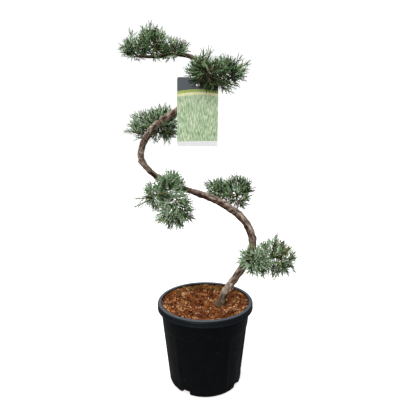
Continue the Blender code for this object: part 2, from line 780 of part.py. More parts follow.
def main():
    clear_scene()
    plant = new_collection("spiral_topiary")
    cutters = new_collection("cutters")
    build_pot(plant, cutters)
    build_soil(plant, cutters)
    build_stem(plant)
    build_boughs(plant)
    build_label(plant)
    build_tie(plant)
    bpy.context.view_layer.update()
    build_foliage(plant)


main()
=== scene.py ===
import json
import math
import random
from collections import namedtuple

import bmesh
import bpy
import numpy as np
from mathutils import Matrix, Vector, noise

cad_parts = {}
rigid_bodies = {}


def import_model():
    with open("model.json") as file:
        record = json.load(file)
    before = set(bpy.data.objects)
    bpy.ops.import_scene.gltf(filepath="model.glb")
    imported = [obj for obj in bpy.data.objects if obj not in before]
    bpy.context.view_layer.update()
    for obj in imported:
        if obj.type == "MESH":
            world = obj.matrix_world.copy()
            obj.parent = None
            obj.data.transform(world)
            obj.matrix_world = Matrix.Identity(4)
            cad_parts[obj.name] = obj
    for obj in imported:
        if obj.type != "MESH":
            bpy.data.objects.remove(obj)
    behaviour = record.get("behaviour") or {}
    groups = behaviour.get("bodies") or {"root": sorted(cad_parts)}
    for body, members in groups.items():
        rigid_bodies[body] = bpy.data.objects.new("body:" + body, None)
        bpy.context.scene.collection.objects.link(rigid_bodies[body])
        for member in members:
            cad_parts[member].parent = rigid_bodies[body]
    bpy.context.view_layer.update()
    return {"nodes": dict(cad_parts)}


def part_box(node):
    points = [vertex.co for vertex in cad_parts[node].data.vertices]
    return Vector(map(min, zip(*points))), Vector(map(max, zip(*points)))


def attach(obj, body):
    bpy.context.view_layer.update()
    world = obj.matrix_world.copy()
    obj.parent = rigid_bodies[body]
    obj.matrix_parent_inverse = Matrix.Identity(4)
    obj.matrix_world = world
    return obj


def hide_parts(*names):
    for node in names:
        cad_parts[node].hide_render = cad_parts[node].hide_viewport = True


# The looks of a potted conifer trained into a spiral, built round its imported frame. Metres, +Z up, front at -Y.
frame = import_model()
mm = 0.001
golden = math.pi * (3 - math.sqrt(5))  # the turn from one shoot to the next


# Small helpers for colour, nodes and meshes.
def linear(hexColour):  # sRGB hex to linear RGBA
    parts = [int(hexColour[k:k + 2], 16) / 255 for k in (1, 3, 5)]
    return [c / 12.92 if c <= 0.04045 else ((c + 0.055) / 1.055) ** 2.4 for c in parts] + [1.0]


def addNode(tree, kind, inputs=(), stops=(), **settings):  # one node with its settings, values, links and stops
    node = tree.nodes.new(kind)
    for name, value in settings.items():
        setattr(node, name, value)
    for key, value in dict(inputs).items():
        if isinstance(value, bpy.types.NodeSocket):
            tree.links.new(value, node.inputs[key])
        else:
            node.inputs[key].default_value = value
    if stops:  # of a colour ramp, as (place, sRGB hex)
        elements = node.color_ramp.elements
        while len(elements) < len(stops):
            elements.new(0.5)
        for element, (place, colour) in zip(elements, stops):
            element.position = place
            element.color = linear(colour)
    return node


def startMaterial(name, colour, roughness, **values):  # values are set straight on the shader's sockets
    material = bpy.data.materials.new(name)
    material.use_nodes = True
    shader = material.node_tree.nodes["Principled BSDF"]
    shader.inputs["Base Color"].default_value = linear(colour)
    shader.inputs["Roughness"].default_value = roughness
    for name, value in values.items():
        shader.inputs[name].default_value = value
    return material, material.node_tree, shader


def newObject(name, data, *materials):
    obj = bpy.data.objects.new(name, data)
    bpy.context.scene.collection.objects.link(obj)
    for material in materials:
        data.materials.append(material)
    return obj


def meshFrom(name, points, faces):
    data = bpy.data.meshes.new(name)
    data.from_pydata([tuple(p) for p in points], [], faces)
    data.update()
    return data


def plainMesh(obj):  # the evaluated result, as the object's own mesh with no modifiers
    bpy.context.view_layer.update()
    done = bpy.data.meshes.new_from_object(obj.evaluated_get(bpy.context.evaluated_depsgraph_get()))
    obj.modifiers.clear()
    obj.data = done
    done.name = obj.name
    return obj


def outwardFaces(obj):
    solid = bmesh.new()
    solid.from_mesh(obj.data)
    bmesh.ops.recalc_face_normals(solid, faces=solid.faces)
    solid.to_mesh(obj.data)
    solid.free()


def stretchedCube(name, place):  # a mesh whose eight corners go where place(x, y, z) says, each from -0.5 to 0.5
    solid = bmesh.new()
    bmesh.ops.create_cube(solid, size=1)
    for vertex in solid.verts:
        vertex.co = place(*vertex.co)
    bmesh.ops.recalc_face_normals(solid, faces=solid.faces)
    data = bpy.data.meshes.new(name)
    solid.to_mesh(data)
    solid.free()
    return data


def finishNode(name, material):  # gives a solid that stays its material
    for slot in frame["nodes"][name].material_slots:
        slot.material = material


def startTree(name, sizes):  # a Geometry Nodes tree with named inputs: (name, socket kind, value)
    tree = bpy.data.node_groups.new(name, "GeometryNodeTree")
    tree.interface.new_socket("Geometry", in_out="INPUT", socket_type="NodeSocketGeometry")
    tree.interface.new_socket("Geometry", in_out="OUTPUT", socket_type="NodeSocketGeometry")
    for label, kind, value in sizes:
        socket = tree.interface.new_socket(label, in_out="INPUT", socket_type="NodeSocket" + kind)
        if kind != "Collection":
            socket.default_value = value
    return tree, addNode(tree, "NodeGroupInput").outputs


def runTree(obj, tree, geometry, sizes):  # closes the tree, sets its inputs by identifier and applies it
    addNode(tree, "NodeGroupOutput", {"Geometry": geometry})
    modifier = obj.modifiers.new(tree.name, "NODES")
    modifier.node_group = tree
    for label, _, value in sizes:
        modifier[tree.interface.items_tree[label].identifier] = value
    return plainMesh(obj)


def setMaterials(tree, geometry, attribute, materials):  # by the number that each instance carries
    number = addNode(tree, "GeometryNodeInputNamedAttribute", {"Name": attribute}, data_type="INT").outputs[0]
    number = addNode(tree, "FunctionNodeIntegerMath", {0: number, 1: len(materials) - 1},
                     operation="MINIMUM").outputs[0]
    for k, material in enumerate(materials):
        chosen = addNode(tree, "FunctionNodeCompare", {2: number, 3: k}, data_type="INT", operation="EQUAL")
        geometry = addNode(tree, "GeometryNodeSetMaterial", {"Geometry": geometry, "Selection": chosen.outputs[0],
                                                             "Material": material}).outputs[0]
    return geometry


def hiddenCollection(name, meshes):  # shapes for instancing, which are not pieces themselves
    shelf = bpy.data.collections.new(name)
    for k, data in enumerate(meshes):
        shelf.objects.link(bpy.data.objects.new(f"{name}{k:02d}", data))
    return shelf


def clearShelf(shelf):
    for obj in list(shelf.objects):
        bpy.data.objects.remove(obj)
    bpy.data.collections.remove(shelf)


# Camera: two thirds of the way up the plant, looking slightly down.
view = {"place": (0.0088, -1.071, 0.742), "downDeg": 9.39, "lensMm": 30.5, "sensorMm": 36.0}
camera = bpy.data.objects.new("camera", bpy.data.cameras.new("camera"))
bpy.context.scene.collection.objects.link(camera)
camera.location = view["place"]
camera.rotation_euler = (math.radians(90 - view["downDeg"]), 0, 0)
camera.data.sensor_width = view["sensorMm"]
camera.data.lens = view["lensMm"]
bpy.context.scene.camera = camera

# Studio: a white sweep lit to pure white, which throws no light back, two wide soft suns, one high at the left and
# one low in front, and a weak fill that comes mostly from above.
studio = {"backdropStrength": 1.05, "horizonFill": 0.40, "zenithFill": 0.75, "groundFill": 0.20,
          "skyRises": (0.15, 0.80), "groundRises": (-0.30, 0.05),
          "keyStrength": 0.9, "keyFrom": (-0.45, -0.60, 1.0), "keySpreadDeg": 50.0,
          "frontStrength": 1.3, "frontFrom": (-0.35, -1.0, 0.12), "frontSpreadDeg": 40.0,
          "floorSize": 30.0, "floorGlow": 0.60}
world = bpy.data.worlds.new("studio")
bpy.context.scene.world = world
world.use_nodes = True
backdrop = world.node_tree.nodes["Background"]
seen = addNode(world.node_tree, "ShaderNodeLightPath").outputs["Is Camera Ray"]
skyward = addNode(world.node_tree, "ShaderNodeTexCoord").outputs["Generated"]
skyward = addNode(world.node_tree, "ShaderNodeSeparateXYZ", {"Vector": skyward}).outputs["Z"]
fill = studio["zenithFill"]
for rises, lower in (("skyRises", "horizonFill"), ("groundRises", "groundFill")):
    fill = addNode(world.node_tree, "ShaderNodeMapRange",
                   {"Value": skyward, "From Min": studio[rises][0], "From Max": studio[rises][1],
                    "To Min": studio[lower], "To Max": fill}).outputs[0]
strength = addNode(world.node_tree, "ShaderNodeMapRange",
                   {"Value": seen, "To Min": fill, "To Max": studio["backdropStrength"]}).outputs[0]
world.node_tree.links.new(strength, backdrop.inputs["Strength"])
backdrop.inputs["Color"].default_value = linear("#ffffff")
bpy.context.scene.view_settings.view_transform = "Standard"


def softSun(name, side):
    lamp = bpy.data.objects.new(name, bpy.data.lights.new(name, "SUN"))
    bpy.context.scene.collection.objects.link(lamp)
    lamp.data.energy = studio[side + "Strength"]
    lamp.data.angle = math.radians(studio[side + "SpreadDeg"])
    lamp.rotation_euler = (-Vector(studio[side + "From"])).to_track_quat("-Z", "Y").to_euler()


softSun("keyLight", "key")
softSun("frontLight", "front")
half = studio["floorSize"] / 2
# Painted board, no gloss.
floorMaterial, _, floorShader = startMaterial("mattWhiteSweep", "#fdfdfd", 0.9,
                                              **{"Emission Strength": studio["floorGlow"]})
floorShader.inputs["Emission Color"].default_value = linear("#ffffff")
floor = newObject("floor", meshFrom("floor", [(-half, -half, 0), (half, -half, 0), (half, half, 0), (-half, half, 0)],
                                    [(0, 1, 2, 3)]), floorMaterial)
floor.visible_diffuse = floor.visible_glossy = False  # so that the undersides stay dark
print("camera and studio done")

# Pot: a moulded nursery container with a folded rim, shallow panels and notches at its foot.
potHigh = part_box("pot")[1]  # its highest corner: the rim's radius and height
pot = {"sides": 240, "floor": 4 * mm, "corner": 13.6 * mm, "wallSkin": 2.5 * mm, "wallTop": 141.6 * mm,
       "wallFoot": 116.8 * mm, "wallRows": 60, "rimDrop": 21 * mm, "rimSkin": 2.2 * mm, "rimShoulder": 3.2 * mm,
       "bandDepth": 1.2 * mm, "lipHeight": 3.4 * mm, "lipInset": 3.6 * mm, "bead": 3 * mm, "creaseDeg": 35,
       "panels": 10, "panelTurnDeg": 4.0, "panelDepth": 1.5 * mm, "panelLow": 20 * mm, "panelHigh": 196 * mm,
       "panelSides": (0.42, 0.37), "panelSoftness": 5 * mm, "notches": 4, "notchFirstDeg": 58.5,
       "notchWidth": 36 * mm, "notchHeight": 18 * mm, "notchDepth": 20 * mm, "notchTaper": 0.12,
       "cloudSize": 40 * mm, "streakSize": 6 * mm, "streakStretch": 0.12, "speckSize": 3.5 * mm,
       # The band's tone is a painted sheen on the rim's band, the edge's tone a painted highlight on the rim's top
       # edge.
       "pebbleSize": 1.2 * mm, "bodyTones": [(0.3, "#04070a"), (0.7, "#090c10")], "bandSheenTone": "#15191e",
       "edgeHighlightTone": "#5c636a", "dustTone": "#5d5a54"}


def arcPoints(r, h, radius, firstDeg, lastDeg, steps):
    turns = [math.radians(firstDeg + (lastDeg - firstDeg) * k / steps) for k in range(steps + 1)]
    return [(r + radius * math.cos(t), h + radius * math.sin(t)) for t in turns]


def turnedMesh(name, profile, sides):  # a solid turned round Z from a profile that starts and ends on the axis
    rings = profile[1:-1]
    points = [(0, 0, profile[0][1]), (0, 0, profile[-1][1])]
    for r, h in rings:
        points += [(r * math.cos(math.tau * k / sides), r * math.sin(math.tau * k / sides), h) for k in range(sides)]
    ring = lambda row, k: 2 + row * sides + k % sides
    faces = [(0, ring(0, k), ring(0, k + 1)) for k in range(sides)]
    for row in range(len(rings) - 1):
        faces += [(ring(row, k), ring(row + 1, k), ring(row + 1, k + 1), ring(row, k + 1)) for k in range(sides)]
    faces += [(1, ring(len(rings) - 1, k + 1), ring(len(rings) - 1, k)) for k in range(sides)]
    return meshFrom(name, points, faces)


def potProfile():  # from the floor's middle up the inside, over the rim and down the outside to the axis
    top, rim = potHigh.z, potHigh.x
    rimFoot = top - pot["rimDrop"]
    foot, corner, skin, bead = pot["wallFoot"], pot["corner"], pot["wallSkin"], pot["bead"]
    inside = [(0, pot["floor"]), (foot - corner - 1 * mm, pot["floor"])]
    inside += arcPoints(foot - corner, corner, corner - skin, -75, 0, 5)
    inside += [(pot["wallTop"] - skin, rimFoot)]
    lip = arcPoints(pot["wallTop"] - skin + pot["lipInset"], top - bead, bead, 180, 90, 5)
    shoulder = pot["rimShoulder"]
    lip += arcPoints(rim - shoulder - 1.5 * mm, top - 2 * mm, 2 * mm, 90, 50, 4)
    band = rim - pot["bandDepth"]
    lip += [(rim - 0.4 * shoulder, top - 0.9 * shoulder), (rim - 0.1 * shoulder, top - 1.7 * shoulder),
            (rim, top - 2.3 * shoulder), (band, top - 2.7 * shoulder),
            (band, rimFoot + pot["lipHeight"] + 1 * mm), (rim, rimFoot + pot["lipHeight"])]
    lip += arcPoints(rim - 1 * mm, rimFoot + 1 * mm, 1 * mm, 0, -150, 4)
    fold = [(rim - 2.8 * mm, top - 3 * shoulder), (rim - shoulder, top - pot["rimSkin"] - 1 * mm),
            (pot["wallTop"] + 0.6 * mm, top - pot["rimSkin"])]
    wall = []
    for k in range(pot["wallRows"] + 1):
        share = k / pot["wallRows"]
        wall.append((pot["wallTop"] + (foot - pot["wallTop"]) * share, rimFoot + (corner - rimFoot) * share))
    under = arcPoints(foot - corner, corner, corner, 0, -90, 8)[1:]
    return inside + lip + fold + wall + under + [(0, 0)], len(inside + lip + fold), len(wall)


def recessPanels(obj):  # Geometry Nodes press the shallow panels into the outer wall
    sizes = [("Count", "Float", float(pot["panels"])), ("Turn", "Float", math.radians(pot["panelTurnDeg"])),
             ("Depth", "Float", pot["panelDepth"]), ("Softness", "Float", pot["panelSoftness"]),
             ("Low", "Float", pot["panelLow"]), ("High", "Float", pot["panelHigh"])]
    tree, given = startTree("potPanels", sizes)
    place = addNode(tree, "GeometryNodeInputPosition").outputs[0]
    axes = addNode(tree, "ShaderNodeSeparateXYZ", {"Vector": place}).outputs
    front = addNode(tree, "ShaderNodeMath", {0: axes["Y"], 1: -1.0}, operation="MULTIPLY").outputs[0]
    lane = addNode(tree, "ShaderNodeMath", {0: axes["X"], 1: front}, operation="ARCTAN2").outputs[0]
    for operation, value in (("ADD", given["Turn"]), ("DIVIDE", math.tau), ("MULTIPLY", given["Count"]),
                             ("FRACT", 0.0), ("SUBTRACT", 0.5), ("ABSOLUTE", 0.0)):
        lane = addNode(tree, "ShaderNodeMath", {0: lane, 1: value}, operation=operation).outputs[0]
    lowEdge = addNode(tree, "ShaderNodeMath", {0: given["Low"], 1: given["Softness"]}, operation="ADD").outputs[0]
    highEdge = addNode(tree, "ShaderNodeMath", {0: given["High"], 1: given["Softness"]},
                       operation="SUBTRACT").outputs[0]
    press = addNode(tree, "GeometryNodeInputNamedAttribute", {"Name": "outerWall"}, data_type="FLOAT").outputs[0]
    for value, start, end in ((lane, *pot["panelSides"]),  # 0 in a panel's middle, 0.5 between two
                              (axes["Z"], given["Low"], lowEdge), (axes["Z"], given["High"], highEdge)):
        inside = addNode(tree, "ShaderNodeMapRange", {"Value": value, "From Min": start, "From Max": end},
                         interpolation_type="SMOOTHSTEP").outputs[0]
        press = addNode(tree, "ShaderNodeMath", {0: press, 1: inside}, operation="MULTIPLY").outputs[0]
    for value in (given["Depth"], -1.0):
        press = addNode(tree, "ShaderNodeMath", {0: press, 1: value}, operation="MULTIPLY").outputs[0]
    flat = addNode(tree, "ShaderNodeCombineXYZ", {"X": axes["X"], "Y": axes["Y"]}).outputs[0]
    outwards = addNode(tree, "ShaderNodeVectorMath", {0: flat}, operation="NORMALIZE").outputs[0]
    push = addNode(tree, "ShaderNodeVectorMath", {0: outwards, "Scale": press}, operation="SCALE").outputs[0]
    moved = addNode(tree, "GeometryNodeSetPosition", {"Geometry": given["Geometry"], "Offset": push}).outputs[0]
    return runTree(obj, tree, moved, sizes)


def cutNotches(obj):
    depth = pot["notchDepth"] + pot["corner"]
    cutters = []
    for number in range(pot["notches"]):
        turn = math.radians(pot["notchFirstDeg"] + 360 / pot["notches"] * number)

        def place(x, y, z):  # a little narrower at the top
            reach = pot["wallFoot"] + pot["corner"] - depth / 2 + y * depth
            side = x * pot["notchWidth"] * (1 - pot["notchTaper"] * (z + 0.5))
            return (reach * math.sin(turn) + side * math.cos(turn), -reach * math.cos(turn) + side * math.sin(turn),
                    z * 2 * pot["notchHeight"])

        cutter = newObject(f"notch{number + 1}", stretchedCube("notch", place))
        cut = obj.modifiers.new(cutter.name, "BOOLEAN")
        cut.operation = "DIFFERENCE"
        cut.solver = "MANIFOLD"
        cut.object = cutter
        cutters.append(cutter)
    done = plainMesh(obj)
    for cutter in cutters:
        bpy.data.objects.remove(cutter)
    return done


def blackPolypropylene():  # moulded polypropylene with carbon black: satin, a faint pebble, dust in its scuffs, a painted sheen on the rim's band and a painted highlight on its top edge
    material, tree, shader = startMaterial("mouldedBlackPolypropylene", "#17191d", 0.42,
                                           **{"IOR": 1.49, "Specular IOR Level": 0.12})
    place = addNode(tree, "ShaderNodeTexCoord").outputs["Object"]
    upright = addNode(tree, "ShaderNodeMapping", {"Vector": place, "Scale": (1, 1, pot["streakStretch"])}).outputs[0]
    cloud, streak, specks, pebble = (
        addNode(tree, "ShaderNodeTexNoise", {"Vector": where, "Scale": 1 / size, "Detail": detail}).outputs["Fac"]
        for where, size, detail in ((place, pot["cloudSize"], 4.0), (upright, pot["streakSize"], 3.0),
                                    (place, pot["speckSize"], 2.0), (place, pot["pebbleSize"], 2.0)))
    height = addNode(tree, "ShaderNodeSeparateXYZ", {"Vector": place}).outputs["Z"]
    tone = addNode(tree, "ShaderNodeValToRGB", {"Fac": cloud}, pot["bodyTones"]).outputs["Color"]
    # The rim's band gets a lighter painted sheen and its top edge a painted highlight; the specks are dust.
    layers = [(height, potHigh.z - pot["rimDrop"] - 1 * mm, potHigh.z - pot["rimDrop"] + 1 * mm, pot["bandSheenTone"]),
              (height, potHigh.z - 2.4 * mm, potHigh.z - 1.0 * mm, pot["edgeHighlightTone"]),
              (specks, 0.70, 0.80, pot["dustTone"])]
    for value, start, end, colour in layers:
        share = addNode(tree, "ShaderNodeMapRange", {"Value": value, "From Min": start, "From Max": end}).outputs[0]
        tone = addNode(tree, "ShaderNodeMix", {0: share, 6: tone, 7: linear(colour)}, data_type="RGBA").outputs[2]
    tree.links.new(tone, shader.inputs["Base Color"])
    rough = addNode(tree, "ShaderNodeMapRange", {"Value": streak, "From Min": 0.3, "From Max": 0.75,
                                                 "To Min": 0.34, "To Max": 0.52}).outputs[0]
    tree.links.new(rough, shader.inputs["Roughness"])
    bump = addNode(tree, "ShaderNodeBump", {"Height": pebble, "Strength": 0.12, "Distance": 0.2 * mm}).outputs[0]
    tree.links.new(bump, shader.inputs["Normal"])
    return material


profile, wallFirst, wallRows = potProfile()
potPiece = newObject("nurseryPot", turnedMesh("nurseryPot", profile, pot["sides"]), blackPolypropylene())
marks = np.zeros(len(potPiece.data.vertices), np.float32)
firstMark = 2 + (wallFirst - 1) * pot["sides"]  # two points on the axis come before the rings
marks[firstMark:firstMark + wallRows * pot["sides"]] = 1.0
potPiece.data.attributes.new("outerWall", "FLOAT", "POINT").data.foreach_set("value", marks)
outwardFaces(potPiece)
potPiece = recessPanels(potPiece)
potPiece = cutNotches(potPiece)
potPiece.data.set_sharp_from_angle(angle=math.radians(pot["creaseDeg"]))
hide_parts("pot")
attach(potPiece, "root")
print("pot done:", len(potPiece.data.polygons), "faces")

# Mulch: damp chopped bark with coir fibre, filled to just under the rim. Its chips are (length, width, thickness)
# in mm.
mulch = {"edgeRadius": 138.6 * mm, "flatRadius": 107 * mm, "middleHeight": 260.6 * mm, "edgeHeight": 260.8 * mm,
         "depth": 5 * mm, "lumpHeight": 2.6 * mm, "lumpSize": 16 * mm, "rings": 60, "spokes": 180,
         "chips": [(7, 3.2, 1.2), (5, 3.0, 1.4), (8, 2.4, 0.9), (4.2, 3.4, 1.8), (11, 0.9, 0.8), (14, 0.6, 0.5)],
         "chipTaper": (0.35, 1.0), "chipSeed": 3, "perSquareMetre": 62000.0, "smallest": 0.5, "largest": 1.9,
         "upFacing": 0.2, "tilt": 0.75, "clump": 21 * mm, "clumpLean": (-0.30, 0.29), "kindReach": 4.68,
         "mossPatch": 45 * mm, "mossBehind": (20 * mm, 110 * mm), "mossLimit": (0.18, 1.1), "grain": 4 * mm, "seed": 5,
         "bedTones": [(0.30, "#2a1108"), (0.48, "#65341a"), (0.62, "#8c4e27"), (0.75, "#bf8048")]}


def mulchHeight(x, y):
    r = math.hypot(x, y)
    share = min(max((r - mulch["flatRadius"]) / (mulch["edgeRadius"] - mulch["flatRadius"]), 0), 1)
    base = mulch["middleHeight"] + (mulch["edgeHeight"] - mulch["middleHeight"]) * share
    lump = noise.fractal(Vector((x, y, 0.3)) / mulch["lumpSize"], 0.9, 2.1, 5)
    return base + lump * mulch["lumpHeight"] * (1 - 0.5 * share)


def mulchMaterials():  # chopped bark of many ages, each kind its own plain colour, dull and damp, the mossy one last
    kinds = [("mulchDarkBark", "#3a160a"), ("mulchBrownBark", "#763c1a"), ("mulchRedBark", "#9c5827"),
             ("mulchOrangeBark", "#b67138"), ("mulchStraw", "#e8b987"), ("mulchMossyBark", "#6f6524")]
    return [startMaterial(name, colour, 0.9, **{"Specular IOR Level": 0.12})[0] for name, colour in kinds]


def mulchBedMaterial():  # the fine stuff between the chips: crumbled bark, with painted shade that darkens its hollows
    material, tree, shader = startMaterial("crumbledBark", "#5f3822", 0.95)
    place = addNode(tree, "ShaderNodeTexCoord").outputs["Object"]
    grains = addNode(tree, "ShaderNodeTexNoise",
                     {"Vector": place, "Scale": 1 / mulch["grain"], "Detail": 5.0}).outputs["Fac"]
    # The same grains set the bump, so the low ones, the hollows, take the dark end of the ramp: painted shade.
    tone = addNode(tree, "ShaderNodeValToRGB", {"Fac": grains}, mulch["bedTones"]).outputs["Color"]
    tree.links.new(tone, shader.inputs["Base Color"])
    bump = addNode(tree, "ShaderNodeBump", {"Height": grains, "Strength": 0.8, "Distance": 1.5 * mm}).outputs[0]
    tree.links.new(bump, shader.inputs["Normal"])
    return material


def chipShapes():  # splintered flakes and fibres, a few faces each
    dice = random.Random(mulch["chipSeed"])
    shapes = []
    for length, width, thick in mulch["chips"]:
        def place(x, y, z):
            taper = dice.uniform(*mulch["chipTaper"])
            return (x * length * dice.uniform(0.8, 1.1) * mm, y * width * taper * mm, z * thick * taper * mm)

        shapes.append(stretchedCube("chip", place))
    return shapes


def mulchBed():  # a closed pad of relief, whose underside lies inside the soil
    rings, spokes, under = mulch["rings"], mulch["spokes"], mulch["edgeHeight"] - mulch["depth"]
    points = [(0, 0, mulchHeight(0, 0)), (0, 0, under)]
    for ring in range(1, rings + 1):
        r = mulch["edgeRadius"] * ring / rings
        for k in range(spokes):
            x, y = r * math.cos(math.tau * k / spokes), r * math.sin(math.tau * k / spokes)
            points.append((x, y, mulchHeight(x, y)))
    points += [(p[0], p[1], under) for p in points[-spokes:]]
    at = lambda ring, k: 2 + (ring - 1) * spokes + k % spokes
    faces = [(0, at(1, k), at(1, k + 1)) for k in range(spokes)]
    for ring in range(1, rings + 1):
        faces += [(at(ring, k), at(ring + 1, k), at(ring + 1, k + 1), at(ring, k + 1)) for k in range(spokes)]
    faces += [(1, at(rings + 1, k + 1), at(rings + 1, k)) for k in range(spokes)]
    return newObject("mulchBed", meshFrom("mulchBed", points, faces), mulchBedMaterial())


def scatterChips(bed, materials):  # Geometry Nodes strew the chips over the bed's upper side
    shelf = hiddenCollection("chip", chipShapes())
    sizes = [("Chips", "Collection", shelf), ("Density", "Float", mulch["perSquareMetre"]),
             ("Smallest", "Float", mulch["smallest"]), ("Largest", "Float", mulch["largest"]),
             ("Tilt", "Float", mulch["tilt"]), ("Seed", "Int", mulch["seed"])]
    tree, given = startTree("mulchChips", sizes)
    normal = addNode(tree, "GeometryNodeInputNormal").outputs[0]
    upwards = addNode(tree, "ShaderNodeSeparateXYZ", {"Vector": normal}).outputs["Z"]
    upper = addNode(tree, "FunctionNodeCompare", {0: upwards, 1: mulch["upFacing"]}, data_type="FLOAT",
                    operation="GREATER_THAN").outputs[0]
    strewn = addNode(tree, "GeometryNodeDistributePointsOnFaces",
                     {"Mesh": given["Geometry"], "Selection": upper, "Density": given["Density"],
                      "Seed": given["Seed"]}).outputs["Points"]
    rolls = {}
    for name, seed, low, high in (("kind", 7, 0.0, 1.0), ("turn", 8, 0.0, math.tau), ("tiltX", 9, -1.0, 1.0),
                                  ("tiltY", 10, -1.0, 1.0), ("mossLimit", 11, *mulch["mossLimit"]),
                                  ("size", 12, given["Smallest"], given["Largest"])):
        rolls[name] = addNode(tree, "FunctionNodeRandomValue", {2: low, 3: high, "Seed": seed},
                              data_type="FLOAT").outputs[1]
    # Moss grows in patches at the back, and the other kinds lie in clumps of like age.
    patches, clumps = (addNode(tree, "ShaderNodeTexNoise", {"Scale": 1 / size, "Detail": 1.0}).outputs["Fac"]
                       for size in (mulch["mossPatch"], mulch["clump"]))
    place = addNode(tree, "GeometryNodeInputPosition").outputs[0]
    behind = addNode(tree, "ShaderNodeSeparateXYZ", {"Vector": place}).outputs["Y"]
    atBack = addNode(tree, "ShaderNodeMapRange", {"Value": behind, "From Min": mulch["mossBehind"][0],
                                                  "From Max": mulch["mossBehind"][1]}).outputs[0]
    mossy = addNode(tree, "ShaderNodeMath", {0: patches, 1: atBack}, operation="MULTIPLY").outputs[0]
    isMoss = addNode(tree, "FunctionNodeCompare", {0: mossy, 1: rolls["mossLimit"]}, data_type="FLOAT",
                     operation="GREATER_THAN").outputs[0]
    lean = addNode(tree, "ShaderNodeMapRange", {"Value": clumps, "From Min": 0.35, "From Max": 0.65,
                                                "To Min": mulch["clumpLean"][0],
                                                "To Max": mulch["clumpLean"][1]}).outputs[0]
    kind = addNode(tree, "ShaderNodeMath", {0: rolls["kind"], 1: lean}, operation="ADD", use_clamp=True).outputs[0]
    kind = addNode(tree, "ShaderNodeMath", {0: kind, 1: mulch["kindReach"]}, operation="MULTIPLY").outputs[0]
    kind = addNode(tree, "FunctionNodeFloatToInt", {0: kind}, rounding_mode="FLOOR").outputs[0]
    kind = addNode(tree, "GeometryNodeSwitch", {0: isMoss, 1: kind, 2: len(materials) - 1},
                   input_type="INT").outputs[0]
    marked = addNode(tree, "GeometryNodeStoreNamedAttribute", {"Geometry": strewn, "Name": "chipKind", "Value": kind},
                     data_type="INT", domain="POINT").outputs[0]
    tiltX, tiltY = (
        addNode(tree, "ShaderNodeMath", {0: given["Tilt"], 1: rolls[name]}, operation="MULTIPLY").outputs[0]
        for name in ("tiltX", "tiltY"))
    turned = addNode(tree, "ShaderNodeCombineXYZ", {"X": tiltX, "Y": tiltY, "Z": rolls["turn"]}).outputs[0]
    rotation = addNode(tree, "FunctionNodeEulerToRotation", {0: turned}).outputs[0]
    info = addNode(tree, "GeometryNodeCollectionInfo", {"Collection": given["Chips"], "Separate Children": True,
                                                        "Reset Children": True}).outputs[0]
    placed = addNode(tree, "GeometryNodeInstanceOnPoints",
                     {"Points": marked, "Instance": info, "Pick Instance": True, "Rotation": rotation,
                      "Scale": rolls["size"]}).outputs[0]
    real = addNode(tree, "GeometryNodeRealizeInstances", {"Geometry": placed}).outputs[0]
    chips = newObject("mulchChips", bed.data.copy())
    done = runTree(chips, tree, setMaterials(tree, real, "chipKind", materials), sizes)
    clearShelf(shelf)
    return done


bed = mulchBed()
chips = scatterChips(bed, mulchMaterials())
for piece in (bed, chips):
    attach(piece, "root")
finishNode("soil", mulchBedMaterial())
print("mulch done:", len(chips.data.polygons), "chip faces")

